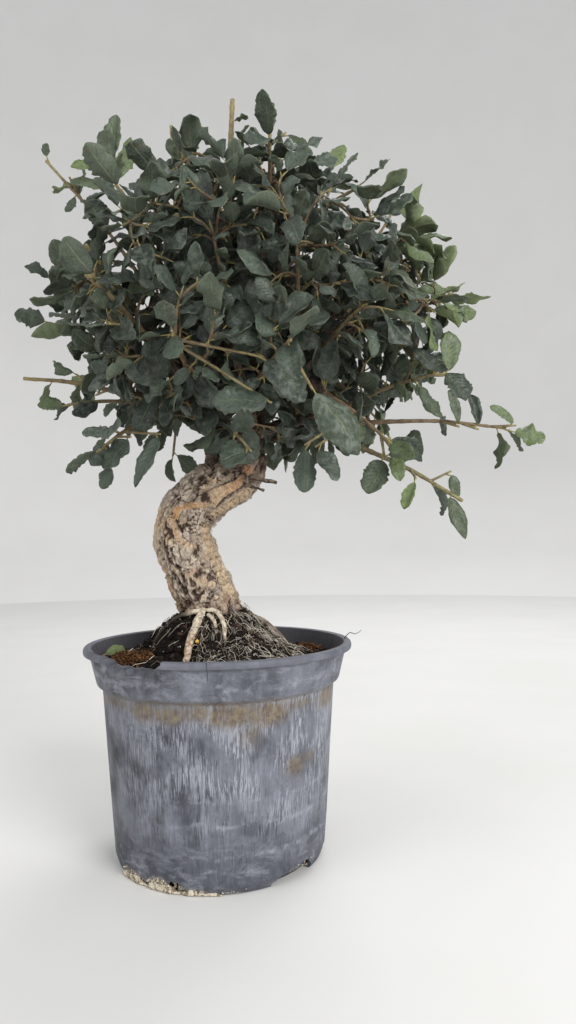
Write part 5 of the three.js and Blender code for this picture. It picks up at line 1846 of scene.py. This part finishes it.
def stray_leaf(material):
    heap = Heap()
    axis = unit(np.array([0.75, 0.35, 0.28]))
    normal = square_to(np.array([0.2, -1, 0.9]), axis)
    leaf = Leaf(np.array([-75, -4, 122.0]), np.array([-73, -3, 122.6]), axis, normal, 13, 7.5, 0.5, 0.2)
    add_leaf(heap, leaf, random.Random(9))
    heap.looks = [np.broadcast_to((0.9, 0.9, 0.3), part.shape) for part in heap.vertices]
    heap.piece("stray_leaf", material, "leaf")


def rim_fibre(material):
    heap = Heap()
    add_hair(heap, RIM_FIBRE, 0.35, (1, 0, 0))
    heap.piece("rim_fibre", material, "root")


def build_stage():
    def stage_mesh(name, rings, colour, closed):
        sides = rings.shape[1]
        faces = []
        for a in range(sides * (len(rings) - 1)):
            b = a + 1 if (a + 1) % sides else a + 1 - sides
            faces.append((a, a + sides, b + sides, b))
        if closed:
            faces.append(list(range(sides)))
        mesh = mesh_of(name, rings.reshape(-1, 3), faces)
        mesh.polygons.foreach_set("use_smooth", [True] * len(mesh.polygons))
        shade = Shade(name, 0.1)
        clouds = shade.noise(160, 2).step(0.3, 0.7)
        mesh.materials.append(shade.finish(mix(clouds, colour, (221, 220, 217)), 0.85))
        made = placed(name, mesh)
        return made

    turns = full_turn(STUDIO_SIDES)
    circle = np.stack([np.cos(turns), np.sin(turns), 0 * turns], axis=1)
    rings = np.array([r * circle + (0, 0, z) for r, z in STUDIO_PROFILE])
    stage_mesh("studio_floor", rings[:3], (218, 217, 213), True)
    wall = stage_mesh("studio_wall", rings[2:], (223, 222, 220), False)
    wall.visible_shadow = False
    wall.visible_diffuse = False


def build_lights():
    world = bpy.data.worlds.new("studio")
    bpy.context.scene.world = world
    world.use_nodes = True
    background = world.node_tree.nodes["Background"].inputs
    background["Color"].default_value = rgb(230, 231, 234)
    background["Strength"].default_value = 0.8
    for name, place, target_height, size, power in LIGHTS:
        lamp = bpy.data.lights.new(name, "AREA")
        lamp.shape = "DISK"
        lamp.size = size
        lamp.energy = power
        made = placed(name, lamp)
        made.location = place
        aim = Vector((0, 0, target_height)) - made.location
        made.rotation_euler = aim.to_track_quat("-Z", "Y").to_euler()


def build_camera():
    lens = bpy.data.cameras.new("camera")
    lens.sensor_width = 36
    lens.lens = CAMERA_LENS
    lens.clip_start = 0.01
    lens.clip_end = 20
    camera = placed("camera", lens)
    turned = Matrix.Rotation(math.pi / 2 + CAMERA_PITCH, 4, "X") @ Matrix.Rotation(CAMERA_ROLL, 4, "Z")
    camera.matrix_world = Matrix.Translation(CAMERA_PLACE) @ turned
    bpy.context.scene.camera = camera


bpy.context.scene.view_settings.view_transform = "Standard"
build_camera()
build_lights()
build_stage()
leaf_look = leaf_material()
bark_look = bark_material()
soil_look = soil_material()
hair_look = hair_material()
grain_look = grain_material()
build_pot(pot_material())
foot_crust().piece("foot_crust", grain_look, "soil")
soil_body().piece("soil_bed", soil_look, "soil", ["soil"])
soil_crumbs().piece("soil_crumbs", soil_look, "soil")
pale_grains().piece("pale_grains", grain_look, "soil")
moss_clumps().piece("moss_clumps", moss_material(), "soil")
hair_roots().piece("hair_roots", hair_look, "root")
stray_leaf(leaf_look)
rim_fibre(hair_look)
trunk_bark().piece("trunk_bark", bark_look, "bark", ["trunk"])
roots = Heap()
for index, path in enumerate(PALE_ROOT_PATHS):
    speckled = 1.0 if index == 0 else 0.25
    darkens = 0.95 if index == 1 else 0.0
    add_root(roots, path, 16, speckled, darkens, seed=500 + index)
roots.piece("pale_roots", root_material(), "root", ["trunk"])
roots = Heap()
for index, path in enumerate(DARK_ROOT_PATHS):
    add_branch(roots, path, sides=18, step=1.0, depth=0.5, headness=0.6, seed=520 + index)
roots.piece("dark_roots", bark_look, "bark", ["trunk"])
build_crown(leaf_look, twig_material(), bark_look)
